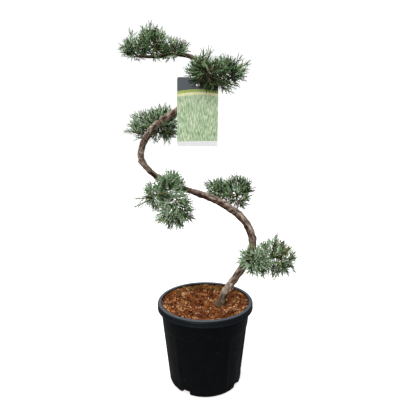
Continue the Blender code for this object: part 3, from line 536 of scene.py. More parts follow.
# Stem: where its middle passes (x, y, z) and its radius, from the soil to the tip, the relief of its bark, its knots
# (station on the path, turn, size), the heights in metres where its bark is painted lighter as painted light, and its
# colours.
stem = {"path": [(0.0455, -0.0270, 0.2588, 0.0125), (0.0654, -0.0210, 0.3060, 0.0116),
                 (0.1144, -0.0350, 0.3860, 0.0117), (0.1447, -0.0260, 0.4605, 0.0118),
                 (0.1182, 0.0000, 0.5288, 0.0119), (0.0480, 0.0600, 0.5745, 0.0123),
                 (-0.0370, 0.0950, 0.6030, 0.0100), (-0.1315, 0.0980, 0.6350, 0.0088),
                 (-0.1955, 0.0580, 0.6965, 0.0097), (-0.1868, -0.0050, 0.7527, 0.0098),
                 (-0.1350, -0.0750, 0.8080, 0.0088), (-0.0600, -0.1085, 0.8530, 0.0086),
                 (-0.0050, -0.0930, 0.9020, 0.0080), (0.0210, -0.0500, 0.9420, 0.0074),
                 (-0.0120, 0.0180, 0.9970, 0.0067), (-0.0750, 0.0340, 1.0210, 0.0058),
                 (-0.1430, 0.0000, 1.0060, 0.0046), (-0.1950, -0.0240, 1.0020, 0.0030)],
        "flareHeight": 30 * mm, "flareExtra": 6.5 * mm, "sunk": 0.05, "sides": 44, "ringGap": 1.5 * mm,
        "stripWidth": 4.5 * mm, "stripLength": 24 * mm, "stripDepth": 0.15, "lumpSize": 11 * mm, "lumpDepth": 0.22,
        "flakeSize": 9 * mm, "flakeDepth": 0.14, "grainTwist": 7.0, "warpSize": 18 * mm, "warpDepth": 2.5 * mm,
        "knotLength": 7 * mm, "knotSharpness": 1.4, "knotFurrow": 0.16, "furrowPlace": 1.25, "furrowSharpness": 9,
        "knots": [(1.15, 2.2, 0.30), (2.1, 0.6, 0.34), (3.2, 3.6, 0.30), (4.2, 1.2, 0.32), (4.9, 4.4, 0.42),
                  (5.15, 2.4, 0.30), (7.3, 3.0, 0.34), (8.15, 4.9, 0.36), (8.6, 0.8, 0.36),
                  (9.5, 2.7, 0.28), (10.4, 5.2, 0.36), (11.4, 1.4, 0.3)],
        # Height bands of painted light: where this ramp is high, the bark is painted lighter and paler.
        "paintedLightBands": [(0.290, "#000000"), (0.305, "#c0c0c0"), (0.335, "#b0b0b0"), (0.355, "#505050"),
                     (0.400, "#202020"), (0.460, "#000000"), (0.640, "#101010"), (0.670, "#505050"),
                     (0.695, "#d8d8d8"), (0.735, "#dcdcdc"), (0.760, "#a0a0a0"), (0.790, "#989898"),
                     (0.830, "#808080"), (0.880, "#404040")],
        "greyTones": [(0.36, "#231710"), (0.45, "#59473a"), (0.54, "#8a7767"), (0.68, "#bdad9d")],
        "warmTones": [(0.36, "#29160f"), (0.46, "#654332"), (0.55, "#8e7261"), (0.70, "#c3af9e")],
        "upFacingHighlightTone": "#bfafa2", "paintedLightTone": "#cfc3b2", "shadeTone": "#3f2717", "scarTone": "#2c1a12",
        "soiledTone": "#46351f", "fibre": 4.5 * mm, "fibreStretch": 0.22, "patch": 26 * mm, "scar": 8 * mm,
        "soiledTo": 42 * mm}
up = np.array((0.0, 0.0, 1.0))


def smoothRows(rows, at):  # the curve through the rows, at whole or fractional row numbers
    rows, at = np.asarray(rows, float), np.atleast_1d(at)
    last = len(rows) - 1
    k = np.clip(at.astype(int), 0, last - 1)
    f = (at - k)[:, None]
    before, start, end, after = (rows[np.clip(k + n, 0, last)] for n in (-1, 0, 1, 2))
    return 0.5 * (2 * start + (end - before) * f + (2 * before - 5 * start + 4 * end - after) * f ** 2
                  + (3 * start - before - 3 * end + after) * f ** 3)


def stemCentres(at):
    return smoothRows([row[:3] for row in stem["path"]], at)


def stemRadii(at):
    at = np.atleast_1d(at)
    radii = np.interp(at, np.arange(len(stem["path"])), [row[3] for row in stem["path"]])
    above = stemCentres(at)[:, 2] - stem["path"][0][2]
    return radii + stem["flareExtra"] * np.clip(1 - above / stem["flareHeight"], 0, 1.2) ** 2


def unit(vectors):
    vectors = np.asarray(vectors, float)
    return vectors / np.linalg.norm(vectors, axis=-1, keepdims=True)


def sidesAlong(centres):  # the tangents, and two sides carried along the path without twist
    tangents = unit(np.gradient(centres, axis=0))
    side = unit(np.cross(tangents[0], (0.0, 1.0, 0.1)))
    sides = []
    for tangent in tangents:
        side = unit(side - side.dot(tangent) * tangent)
        sides.append(side)
    sides = np.array(sides)
    return tangents, sides, np.cross(tangents, sides)


def barkedLimb(name, centres, radii, sides, knots, reliefShare, material):  # fibrous relief, closed at both ends
    _, one, two = sidesAlong(centres)
    along = np.concatenate([[0], np.cumsum(np.linalg.norm(np.diff(centres, axis=0), axis=1))])
    turns = np.arange(sides) * math.tau / sides
    flakeSize, knotLength = stem["flakeSize"], stem["knotLength"]
    points, spaces, reliefs, outwards = [], [], [], []
    for k, (centre, radius, s) in enumerate(zip(centres, radii, along)):
        for turn in turns:
            grain = turn + s * stem["grainTwist"]
            x, y = math.cos(grain) * radius, math.sin(grain) * radius
            warp = noise.noise(Vector((x, y, s)) / stem["warpSize"]) * stem["warpDepth"]
            strip = noise.noise(Vector(((x + warp) / stem["stripWidth"], (y - warp) / stem["stripWidth"],
                                        s / stem["stripLength"])))
            strip = 1 - 2 * abs(strip) ** 0.7 if strip < 0 else 1 - 1.2 * abs(strip)
            flake = noise.noise(Vector((x / flakeSize, y / flakeSize, s / (3 * flakeSize) + 7)))
            lump = noise.noise(Vector((x, y, s * 0.8)) / stem["lumpSize"] + Vector((3, 1, 4)))
            relief = ((strip - 0.72) * stem["stripDepth"] + (max(flake, 0) - 0.1) * stem["flakeDepth"]
                      + lump * stem["lumpDepth"])
            knot = 0.0
            for at, knotTurn, size in knots:  # a swelling with a furrow round it
                gap = Vector(((s - at) / knotLength, 1.6 * math.sin((turn - knotTurn) / 2) * 2))
                knot += size * math.exp(-gap.length_squared * stem["knotSharpness"])
                fromFurrow = gap.length - stem["furrowPlace"]
                relief -= stem["knotFurrow"] * math.exp(-(fromFurrow ** 2) * stem["furrowSharpness"]) * size
            outwards.append(one[k] * math.cos(turn) + two[k] * math.sin(turn))
            points.append(centre + outwards[-1] * (radius * (1 + relief * reliefShare + knot)))
            spaces.append((x, y, s))
            reliefs.append(0.6 + relief * 2.6)
    count = len(centres)
    points += [centres[0], centres[-1]]
    spaces += [(0, 0, along[0]), (0, 0, along[-1])]
    reliefs += [0.5, 0.5]
    outwards += [-up, up]
    at = lambda ring, k: ring * sides + k % sides
    faces = [(at(ring, k), at(ring, k + 1), at(ring + 1, k + 1), at(ring + 1, k))
             for ring in range(count - 1) for k in range(sides)]
    faces += [(count * sides, at(0, k + 1), at(0, k)) for k in range(sides)]
    faces += [(count * sides + 1, at(count - 1, k), at(count - 1, k + 1)) for k in range(sides)]
    limb = newObject(name, meshFrom(name, points, faces), material)
    upwards = [0.7 * way[2] + 0.3 * vertex.normal.z for way, vertex in zip(outwards, limb.data.vertices)]
    for label, kind, field, values in (("barkSpace", "FLOAT_VECTOR", "vector", spaces),
                                       ("relief", "FLOAT", "value", reliefs), ("upwards", "FLOAT", "value", upwards)):
        limb.data.attributes.new(label, kind, "POINT").data.foreach_set(field, np.array(values, np.float32).ravel())
    limb.data.shade_smooth()
    return limb


def fibrousBark():  # living conifer bark: grey-brown fibres over a red-brown inner layer, with painted shade in its grooves, a painted highlight where it faces up, painted shade beneath and painted light in bands of height
    material, tree, shader = startMaterial("fibrousConiferBark", "#8a7566", 0.85, **{"Specular IOR Level": 0.25})
    space, relief, upwards = (addNode(tree, "ShaderNodeAttribute", attribute_name=label).outputs[output]
                              for label, output in (("barkSpace", "Vector"), ("relief", "Fac"), ("upwards", "Fac")))
    drawn = addNode(tree, "ShaderNodeMapping", {"Vector": space, "Scale": (1, 1, stem["fibreStretch"])}).outputs[0]
    fibres, patches, spots = (
        addNode(tree, "ShaderNodeTexNoise", {"Vector": where, "Scale": 1 / size, "Detail": detail}).outputs["Fac"]
        for where, size, detail in ((drawn, stem["fibre"], 5.0), (space, stem["patch"], 3.0),
                                    (space, stem["scar"], 2.0)))
    height = addNode(tree, "ShaderNodeTexCoord").outputs["Object"]
    height = addNode(tree, "ShaderNodeSeparateXYZ", {"Vector": height}).outputs["Z"]
    shares = {}
    for name, value, start, end, most in (
            ("blotched", patches, 0.42, 0.62, 1.0), ("upFacingHighlight", upwards, 0.0, 0.9, 0.40),
            ("below", upwards, 0.45, -0.25, 0.88), ("scarred", spots, 0.57, 0.63, 0.75),
            ("soiled", height, potHigh.z + stem["soiledTo"], potHigh.z + 2 * mm, 0.7)):
        shares[name] = addNode(tree, "ShaderNodeMapRange",
                               {"Value": value, "From Min": start, "From Max": end, "To Max": most}).outputs[0]
    # Low relief takes the ramps' dark end: partly the red-brown inner layer, partly painted shade in the grooves and
    # furrows.
    raised = addNode(tree, "ShaderNodeMath", {0: relief, 1: 0.45}, operation="MULTIPLY").outputs[0]
    mixed = addNode(tree, "ShaderNodeMath", {0: fibres, 1: 0.55, 2: raised}, operation="MULTIPLY_ADD").outputs[0]
    grey, warm = (addNode(tree, "ShaderNodeValToRGB", {"Fac": mixed}, stem[tones]).outputs["Color"]
                  for tones in ("greyTones", "warmTones"))
    tone = addNode(tree, "ShaderNodeMix", {0: shares["blotched"], 6: grey, 7: warm}, data_type="RGBA").outputs[2]
    # Painted highlight: the bark is painted paler where it faces up.
    tone = addNode(tree, "ShaderNodeMix", {0: shares["upFacingHighlight"], 6: tone, 7: linear(stem["upFacingHighlightTone"])},
                   data_type="RGBA").outputs[2]
    # Painted light: in the height bands of its ramp the bark is painted lighter and paler, and the painted shade
    # beneath is taken off.
    paintedLightBands = addNode(tree, "ShaderNodeValToRGB", {"Fac": height}, stem["paintedLightBands"]).outputs["Color"]
    gain = addNode(tree, "ShaderNodeMath", {0: paintedLightBands, 1: 1.5, 2: 1.0}, operation="MULTIPLY_ADD").outputs[0]
    tone = addNode(tree, "ShaderNodeHueSaturation", {"Value": gain, "Color": tone}).outputs[0]
    paintedPaleness = addNode(tree, "ShaderNodeMath", {0: paintedLightBands, 1: 0.45}, operation="MULTIPLY").outputs[0]
    outsidePaintedLight = addNode(tree, "ShaderNodeMath", {0: paintedLightBands, 1: -1.6, 2: 1.0}, operation="MULTIPLY_ADD",
                         use_clamp=True).outputs[0]
    shaded = addNode(tree, "ShaderNodeMath", {0: shares["below"], 1: outsidePaintedLight}, operation="MULTIPLY").outputs[0]
    for share, colour in ((paintedPaleness, stem["paintedLightTone"]), (shaded, stem["shadeTone"]),
                          (shares["scarred"], stem["scarTone"]), (shares["soiled"], stem["soiledTone"])):
        tone = addNode(tree, "ShaderNodeMix", {0: share, 6: tone, 7: linear(colour)}, data_type="RGBA").outputs[2]
    tree.links.new(tone, shader.inputs["Base Color"])
    bump = addNode(tree, "ShaderNodeBump", {"Height": fibres, "Strength": 0.7, "Distance": 0.6 * mm}).outputs[0]
    tree.links.new(bump, shader.inputs["Normal"])
    return material


barkMaterial = fibrousBark()
fineStations = np.linspace(-stem["sunk"], len(stem["path"]) - 1, 3000)
finePath = stemCentres(fineStations)
fineLength = np.concatenate([[0], np.cumsum(np.linalg.norm(np.diff(finePath, axis=0), axis=1))])
ringCount = int(fineLength[-1] / stem["ringGap"])
stations = np.interp(np.linspace(0, fineLength[-1], ringCount), fineLength, fineStations)
stemKnots = [(float(np.interp(station, fineStations, fineLength)), turn, size)
             for station, turn, size in stem["knots"]]
stemPiece = barkedLimb("barkedStem", stemCentres(stations), stemRadii(stations), stem["sides"], stemKnots, 1.0,
                       barkMaterial)
trunkNodes = [name for name in frame["nodes"] if name.startswith("trunk_")]
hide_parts(*trunkNodes)
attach(stemPiece, "root")
print("stem done:", len(stemPiece.data.polygons), "faces")

# Foliage: how boughs, twigs and sprays grow. A range is (least, most), radii are (root, tip), an aim weighs how far a
# shoot goes sideways, along its limb, outwards in its mass and up, and the shortest twigs are in shortest sprays.
growth = {"boughShare": 0.42, "boughRadii": (3.4 * mm, 2.6 * mm), "seat": 0.4 * mm, "boughSides": 16,
          "boughRingGap": 2 * mm, "boughRelief": 0.8,
          "stalkRadii": (2.6 * mm, 1.1 * mm), "stalkBeyond": 0.62, "stalkOverlap": 1 * mm, "stalkPoints": 9,
          "stalkSprayed": 0.95, "stalkVigour": 0.9, "spraysPerStalk": 24,
          "twigs": 16, "twigSides": 4, "twigRadii": (1.35 * mm, 0.7 * mm), "twigReach": 0.62, "twigSprayed": 0.6,
          "spraysPerTwig": 10, "shortestTwig": 0.6, "vigour": (0.70, 1.06),
          "sideTwigs": 4, "sideTwigRadii": (0.8 * mm, 0.45 * mm), "sideTwigReach": 0.50, "sideTwigSprayed": 0.7,
          "spraysPerSideTwig": 5, "shortestSideTwig": 0.4, "longestSideTwig": 38 * mm, "sideTwigVigour": (0.7, 1.1),
          "sideTwigAim": (0.8, 0.7, 0.4, 0.4),
          "longestSpray": 60 * mm, "shortestSpray": 16 * mm, "sprayWidth": 12 * mm, "sprayAim": (0.6, 0.6, 0.55, 0.6),
          "chance": 0.46, "tries": 3, "tipGap": 9 * mm, "reach": (0.60, 0.94), "leaderShare": 0.45,
          "leaderReach": (1.0, 1.38), "skinReach": 1.10,
          "sprigRadii": (2.2 * mm, 1.2 * mm), "sprigTip": 20 * mm, "sprigGap": 6 * mm, "sprigFeathered": 0.65,
          "sprigSprays": (14 * mm, 30 * mm), "sprigSpread": (0.45, 0.75),
          "limbRoom": 1.5 * mm, "labelRoom": 2 * mm, "overlap": 0.50, "seed": 20, "rollSeed": 3}
# A mass of foliage: its pad, its name, the station of its bough on the stem, its middle, its half sizes, the lift of
# its sprays, how far below its middle they fan out from, in half heights, and its shares of frosted, blue-green,
# mid-green, deep green, olive and brown leaves.
Mass = namedtuple("Mass", "pad name station middle half lift fan tints")
masses = [Mass(*row) for row in (
    ("lowRight", "low_right_inner", 2.25, (0.146, -0.060, 0.412), (0.054, 0.054, 0.054), 0.15, 0.2,
     (0.40, 0.32, 0.16, 0.10, 0.01, 0.01)),
    ("lowRight", "low_right_outer", 2.50, (0.218, -0.022, 0.410), (0.066, 0.065, 0.070), 0.20, 0.2,
     (0.15, 0.17, 0.32, 0.20, 0.14, 0.02)),
    ("midRight", "mid_right_inner", 4.85, (0.048, 0.125, 0.609), (0.058, 0.056, 0.041), 0.40, 0.5,
     (0.20, 0.32, 0.28, 0.19, 0.01, 0.00)),
    ("midRight", "mid_right_outer", 4.45, (0.109, 0.105, 0.603), (0.062, 0.062, 0.063), 0.30, 0.4,
     (0.15, 0.28, 0.29, 0.26, 0.01, 0.01)),
    ("midLeft", "mid_left_upper", 6.45, (-0.112, 0.036, 0.623), (0.059, 0.056, 0.062), 0.35, 0.5,
     (0.36, 0.34, 0.18, 0.11, 0.01, 0.00)),
    ("midLeft", "mid_left_lower", 6.55, (-0.094, 0.012, 0.564), (0.077, 0.062, 0.070), -0.25, -0.4,
     (0.40, 0.30, 0.16, 0.11, 0.02, 0.01)),
    ("midLeft", "mid_left_outer", 6.75, (-0.152, 0.012, 0.600), (0.043, 0.050, 0.052), 0.00, 0.0,
     (0.40, 0.30, 0.17, 0.10, 0.02, 0.01)),
    ("highLeft", "high_left_outer", 8.90, (-0.188, 0.035, 0.814), (0.045, 0.054, 0.048), 0.35, 0.4,
     (0.36, 0.26, 0.20, 0.16, 0.00, 0.02)),
    ("highLeft", "high_left_inner", 9.80, (-0.128, 0.012, 0.815), (0.062, 0.060, 0.061), 0.30, 0.3,
     (0.28, 0.24, 0.24, 0.23, 0.00, 0.01)),
    ("upperRight", "upper_right_inner", 13.20, (-0.002, -0.020, 0.955), (0.053, 0.056, 0.052), 0.60, 0.8,
     (0.26, 0.30, 0.26, 0.15, 0.01, 0.02)),
    ("upperRight", "upper_right_outer", 12.75, (0.056, -0.040, 0.951), (0.058, 0.060, 0.047), 0.45, 0.7,
     (0.22, 0.30, 0.28, 0.16, 0.02, 0.02)),
    ("upperRight", "upper_right_front", 12.70, (0.012, -0.144, 0.932), (0.052, 0.032, 0.044), -0.10, -0.3,
     (0.04, 0.14, 0.26, 0.48, 0.02, 0.06)),
    ("top", "top_right", 14.80, (-0.092, 0.020, 1.027), (0.058, 0.054, 0.033), 0.45, 0.8,
     (0.28, 0.26, 0.22, 0.12, 0.08, 0.04)),
    ("top", "top_middle", 15.60, (-0.150, 0.000, 1.038), (0.050, 0.058, 0.050), 0.45, 0.7,
     (0.28, 0.34, 0.24, 0.11, 0.02, 0.01)),
    ("top", "top_left", 16.40, (-0.194, -0.018, 1.019), (0.050, 0.054, 0.033), 0.35, 0.7,
     (0.30, 0.32, 0.24, 0.10, 0.02, 0.02)),
)]
sprigTips = {  # where the longest sprigs of each mass end, past the rest
    "low_right_inner": [(0.145, -0.055, 0.360), (0.099, -0.060, 0.399), (0.114, -0.075, 0.453)],
    "low_right_outer": [(0.222, -0.022, 0.494), (0.243, -0.010, 0.468), (0.256, -0.030, 0.452),
                        (0.282, -0.022, 0.423), (0.272, -0.035, 0.397), (0.285, -0.020, 0.358),
                        (0.182, -0.030, 0.344), (0.208, -0.010, 0.340), (0.238, -0.030, 0.350)],
    "mid_right_inner": [(0.007, 0.125, 0.651), (-0.011, 0.120, 0.638), (0.026, 0.110, 0.649)],
    "mid_right_outer": [(0.085, 0.105, 0.666), (0.156, 0.105, 0.632), (0.172, 0.110, 0.608),
                        (0.134, 0.100, 0.540), (0.119, 0.090, 0.553)],
    "mid_left_upper": [(-0.117, 0.040, 0.679), (-0.091, 0.030, 0.683), (-0.139, 0.040, 0.664),
                       (-0.063, 0.030, 0.655)],
    "mid_left_lower": [(-0.169, 0.010, 0.525), (-0.140, 0.020, 0.510), (-0.119, 0.012, 0.493),
                       (-0.076, 0.010, 0.493), (-0.041, 0.010, 0.569), (-0.031, 0.000, 0.559)],
    "mid_left_outer": [(-0.225, 0.012, 0.591), (-0.227, 0.010, 0.566), (-0.187, 0.020, 0.643)],
    "high_left_outer": [(-0.255, 0.035, 0.799), (-0.241, 0.030, 0.819), (-0.227, 0.040, 0.850),
                        (-0.221, 0.030, 0.771)],
    "high_left_inner": [(-0.164, 0.012, 0.867), (-0.125, 0.012, 0.870), (-0.101, 0.010, 0.859),
                        (-0.151, 0.010, 0.759), (-0.112, 0.010, 0.765)],
    "upper_right_inner": [(-0.002, -0.020, 1.027), (0.020, -0.020, 1.031), (-0.022, -0.020, 1.008),
                          (-0.059, -0.030, 0.950), (-0.061, -0.030, 0.974)],
    "upper_right_outer": [(0.042, -0.040, 1.003), (0.073, -0.040, 0.993), (0.108, -0.040, 1.002),
                          (0.130, -0.035, 0.990), (0.126, -0.040, 0.964), (0.118, -0.050, 0.938),
                          (0.098, -0.050, 0.917)],
    "upper_right_front": [(-0.045, -0.138, 0.915), (-0.020, -0.138, 0.900), (0.010, -0.138, 0.893),
                          (0.035, -0.135, 0.890), (0.058, -0.130, 0.888), (0.081, -0.120, 0.887)],
    "top_right": [(-0.097, 0.020, 1.073), (-0.061, 0.020, 1.060), (-0.041, 0.020, 1.052),
                  (-0.047, 0.020, 1.032), (-0.085, 0.020, 0.996)],
    "top_middle": [(-0.151, 0.000, 1.106), (-0.164, 0.000, 1.088), (-0.133, 0.000, 1.091),
                   (-0.115, 0.010, 1.076), (-0.158, 0.000, 0.997)],
    "top_left": [(-0.201, -0.018, 1.079), (-0.224, -0.018, 1.059), (-0.248, -0.018, 1.029),
                 (-0.242, -0.020, 1.011), (-0.220, -0.020, 1.000)],
}
middles = np.array([mass.middle for mass in masses])
halves = np.array([mass.half for mass in masses])
fanPoints = middles - [[0, 0, mass.half[2] * mass.fan] for mass in masses]


def reachShares(points):  # how far out each point lies in each mass: 0 at its middle, 1 on its skin
    return np.linalg.norm((points[:, None] - middles) / halves, axis=2)


def inOwnSpace(number, points, skin=1.0):  # inside its mass, and further inside it than inside any other
    shares = reachShares(points)
    own = shares[:, number]
    sameCrown = np.array([mass.pad == masses[number].pad for mass in masses])
    others = np.where(sameCrown, shares + growth["overlap"], shares)
    others[:, number] = np.inf
    return (own <= skin) & (own < others.min(axis=1))


def skinDistance(number, root, direction):  # how far a mass's skin is from a point in it, along a direction
    p, d = (root - middles[number]) / halves[number], direction / halves[number]
    a, b, c = d.dot(d), 2 * p.dot(d), p.dot(p) - 1
    inside = b * b - 4 * a * c
    return max((-b + math.sqrt(inside)) / (2 * a), 0.0) if inside > 0 else 0.0


closeStations = np.arange(0, len(stem["path"]) - 0.99, 0.04)
limbPoints, limbRadii = stemCentres(closeStations), stemRadii(closeStations)
labelLow, labelHigh = (np.array(corner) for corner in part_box("label"))


def clearOfLimbs(points):
    gaps = np.linalg.norm(points[:, None] - limbPoints, axis=2) - limbRadii
    return (gaps > growth["limbRoom"]).all()


def clearOfLabel(points):  # neither in the card nor through it
    room = growth["labelRoom"]
    beside = (points[:, [0, 2]] > labelLow[[0, 2]] - room) & (points[:, [0, 2]] < labelHigh[[0, 2]] + room)
    faced = points[beside.all(axis=1)][:, 1]
    return len(faced) == 0 or (faced < labelLow[1] - room).all() or (faced > labelHigh[1] + room).all()


def squareTo(direction, turn):  # a unit vector square to the direction, turned round it
    helper = up if abs(direction[2]) < 0.9 else np.array((1.0, 0.0, 0.0))
    one = unit(np.cross(direction, helper))
    return one * math.cos(turn) + np.cross(direction, one) * math.sin(turn)


def curvePoints(start, knee, end, count):
    share = np.linspace(0, 1, count)[:, None]
    return (1 - share) ** 2 * start + 2 * share * (1 - share) * knee + share ** 2 * end


def boughPath(mass):  # its start inside the stem, its knee and its end
    station, middle = mass.station, np.array(mass.middle)
    origin = stemCentres(station)[0]
    tangent = unit(stemCentres(station + 0.02)[0] - stemCentres(station - 0.02)[0])
    side = unit((middle - origin) - (middle - origin).dot(tangent) * tangent)
    start = origin + side * (stemRadii(station)[0] + growth["seat"])
    end = start + (middle - start) * growth["boughShare"]
    return origin + side * stemRadii(station)[0] * 0.6, start + side * np.linalg.norm(end - start) * 0.35, end


class Limb:  # a twig: points along it and its radii
    def __init__(self, start, knee, end, radii, count=6):
        self.points = curvePoints(start, knee, end, count)
        self.radii = np.linspace(*radii, count)

    def at(self, share):
        where = share * (len(self.points) - 1)
        k = min(int(where), len(self.points) - 2)
        step = self.points[k + 1] - self.points[k]
        return self.points[k] + step * (where - k), unit(step)


def fits(number, points, skin=1.0):  # in its own space and clear of the stem
    return inOwnSpace(number, points, skin).all() and clearOfLimbs(points)


def aimed(number, root, axis, turn, aim):  # where a shoot on a limb heads, by its aim
    sideways, along, outwards, lift = aim
    fromFan = (root - fanPoints[number]) / halves[number].min()
    return squareTo(axis, turn) * sideways + axis * along + fromFan * outwards + up * masses[number].lift * lift


def growMass(number):  # stalk, twigs, side twigs and sprays, by the rule that the limbs follow
    mass = masses[number]
    dice = random.Random(f"{growth['seed']} {mass.name}")
    middle, lift = middles[number], mass.lift
    _, knee, tip = boughPath(mass)
    heading, through = unit(tip - knee), unit(middle - tip)
    end = middle + through * skinDistance(number, middle, through) * growth["stalkBeyond"]
    stalk = Limb(tip - heading * growth["stalkOverlap"], tip + heading * np.linalg.norm(end - tip) * 0.4, end,
                 growth["stalkRadii"], growth["stalkPoints"])
    count = growth["spraysPerStalk"]
    roots = [(stalk, 1 - growth["stalkSprayed"] * k / count, golden * k, growth["stalkVigour"]) for k in range(count)]
    limbs = [stalk]
    for k in range(growth["twigs"]):
        share = 0.10 + 0.89 * k / (growth["twigs"] - 1)  # first near the stalk's foot, last near its tip
        root, axis = stalk.at(share)
        side = squareTo(axis, golden * k + dice.uniform(-0.3, 0.3))
        direction = unit(side + axis * (1.1 * share - 0.5) + up * lift * 0.5)
        vigour = dice.uniform(*growth["vigour"])
        length = skinDistance(number, root, direction) * growth["twigReach"] * vigour
        if length < growth["shortestSpray"] * growth["shortestTwig"]:
            continue
        bend = squareTo(direction, dice.uniform(0, math.tau)) * 0.10 + up * (0.06 + 0.3 * max(lift, 0))
        twig = Limb(root, root + (direction - bend) * length * 0.5, root + (direction + bend * 0.8) * length,
                    growth["twigRadii"])
        outer = twig.points[2:]
        if not (fits(number, outer) and clearOfLabel(outer)):
            continue
        limbs.append(twig)
        count = growth["spraysPerTwig"]
        roots += [(twig, 1 - growth["twigSprayed"] * n / count, golden * (n + 0.4 * k), vigour) for n in range(count)]
        for n in range(growth["sideTwigs"]):
            root, axis = twig.at(0.28 + 0.62 * n / growth["sideTwigs"])
            direction = unit(aimed(number, root, axis, golden * n + k, growth["sideTwigAim"]))
            length = min(skinDistance(number, root, direction) * growth["sideTwigReach"]
                         * dice.uniform(*growth["sideTwigVigour"]), growth["longestSideTwig"])
            if length < growth["shortestSpray"] * growth["shortestSideTwig"]:
                continue
            sideTwig = Limb(root, root + direction * length * 0.5 - up * length * 0.05, root + direction * length,
                            growth["sideTwigRadii"], 4)
            if fits(number, sideTwig.points[1:]) and clearOfLabel(sideTwig.points):
                limbs.append(sideTwig)
                count = growth["spraysPerSideTwig"]
                roots += [(sideTwig, 1 - growth["sideTwigSprayed"] * m / count, golden * (m + n + 0.4 * k), vigour)
                          for m in range(count)]
    sprays, tips = [], [np.zeros(3)]
    for limb, share, turn, vigour in roots:
        root, axis = limb.at(share)
        for _ in range(growth["tries"]):
            spray = growSpray(number, root, axis, turn, vigour, dice)
            if spray is None:
                continue
            place = spray[0] + spray[1] * spray[2]
            if np.linalg.norm(np.array(tips) - place, axis=1).min() > growth["tipGap"]:
                sprays.append(spray)
                tips.append(place)
                break
    for tip in sprigTips.get(mass.name, []):
        sprig, ownSprays = growSprig(number, stalk, np.array(tip), dice)
        limbs.append(sprig)
        sprays += ownSprays
    return limbs, sprays


def growSprig(number, stalk, tip, dice):  # one long shoot to a place past the rest, feathered along its outer part
    gaps = np.linalg.norm(stalk.points - tip, axis=1)
    root = stalk.points[max(int(gaps.argmin()) - 1, 0)]
    length = np.linalg.norm(tip - root)
    aside = squareTo(unit(tip - root), dice.uniform(0, math.tau)) * length
    knee = (root + tip) / 2 + aside * 0.08 - up * length * 0.06
    sprig = Limb(root, knee, tip - unit(tip - knee) * growth["sprigTip"], growth["sprigRadii"])
    end, heading = sprig.at(1.0)
    sprays = [(end, heading, growth["sprigTip"], pickTint(number, root, dice))]
    count = int(length * growth["sprigFeathered"] / growth["sprigGap"])
    for k in range(count):
        place, axis = sprig.at(1 - growth["sprigFeathered"] * (k + 0.3) / count)
        spread = squareTo(axis, golden * k) * dice.uniform(*growth["sprigSpread"])
        direction = unit(axis + spread + up * 0.15 * masses[number].lift)
        reach = min(dice.uniform(*growth["sprigSprays"]), np.linalg.norm(tip - place))
        points = place + direction * reach * np.array([[0.3], [0.6], [1.0]])
        if clearOfLimbs(points) and clearOfLabel(np.vstack([place, points])):
            sprays.append((place, direction, reach, pickTint(number, root, dice)))
    return sprig, sprays


def growSpray(number, root, axis, turn, vigour, dice):  # root, direction, length and tint, or None if it can't fit
    chance = np.array([dice.uniform(-1, 1) for _ in range(3)]) * growth["chance"]
    sideways, along, outwards, lift = growth["sprayAim"]
    direction = unit(aimed(number, root, axis, turn, (sideways, along, outwards, 0)) + chance)
    direction = unit(direction + up * masses[number].lift * lift)
    leader = dice.random() < growth["leaderShare"]  # a spray that passes the skin
    reach = dice.uniform(*growth["leaderReach" if leader else "reach"])
    toSkin = skinDistance(number, root, direction) * vigour * reach
    tint = pickTint(number, root + direction * toSkin * (0.1 if leader else 0.5), dice)
    skin = growth["leaderReach"][1] if leader else growth["skinReach"]
    for shorter in (1.0, 0.8, 0.6):
        length = min(growth["longestSpray"] * dice.uniform(0.7, 1.0), toSkin) * shorter
        if length < growth["shortestSpray"]:
            return None
        points = root + direction * length * np.array([[0.2], [0.5], [0.75], [1.0]])
        if fits(number, points, skin) and clearOfLabel(np.vstack([root, points])):
            return root, direction, length, tint
    return None


# How each tint's share changes with the light it gets: (least, in the dark, gained in full light).
tintLight = [(0.1, 0.0, 1.4), (0.3, 0.5, 0.6), (1.0, 1.0, 0.0), (0.3, 2.8, -2.4), (1.0, 1.0, 0.0), (0.3, 1.4, -0.8)]


def pickTint(number, place, dice):  # paler on top and at the skin, darker inside and below: painted light and painted shade
    mass = masses[number]
    height = (place[2] - mass.middle[2]) / mass.half[2]
    light = min(reachShares(place[None])[0, number], 1.0) * 0.9 + height * 0.5
    under = max(-height - 0.15, 0) * max(mass.lift, 0)
    weights = [share * max(least, dark + gain * light) for share, (least, dark, gain) in zip(mass.tints, tintLight)]
    weights.insert(4, mass.tints[3] * under * 12)  # shade green, as painted shade under the pad
    return dice.choices(range(len(weights)), weights)[0]


def leafMaterials():  # living scale foliage: dull, waxy, each tint a plain colour of its own
    kinds = [("frostedScaleLeaf", "#cfdfc2", 0.60), ("blueGreenScaleLeaf", "#a0c199", 0.58),
             ("midGreenScaleLeaf", "#7ea366", 0.56), ("deepGreenScaleLeaf", "#374b24", 0.60),
             ("shadeGreenScaleLeaf", "#1f2b15", 0.60), ("oliveScaleLeaf", "#aaa35b", 0.60),
             ("brownScaleLeaf", "#7c664f", 0.75)]
    return [startMaterial(name, colour, roughness, **{"Specular IOR Level": 0.3})[0]
            for name, colour, roughness in kinds]


def twigMaterial():  # young wood: thin red-brown bark, dull, with greener patches where it is new
    material, tree, shader = startMaterial("youngConiferTwig", "#5f4634", 0.7)
    place = addNode(tree, "ShaderNodeTexCoord").outputs["Object"]
    patches = addNode(tree, "ShaderNodeTexNoise",
                      {"Vector": place, "Scale": 1 / (9 * mm), "Detail": 3.0}).outputs["Fac"]
    tone = addNode(tree, "ShaderNodeValToRGB", {"Fac": patches},
                   [(0.35, "#2b1d15"), (0.55, "#553c2d"), (0.7, "#75694c")]).outputs["Color"]
    tree.links.new(tone, shader.inputs["Base Color"])
    return material


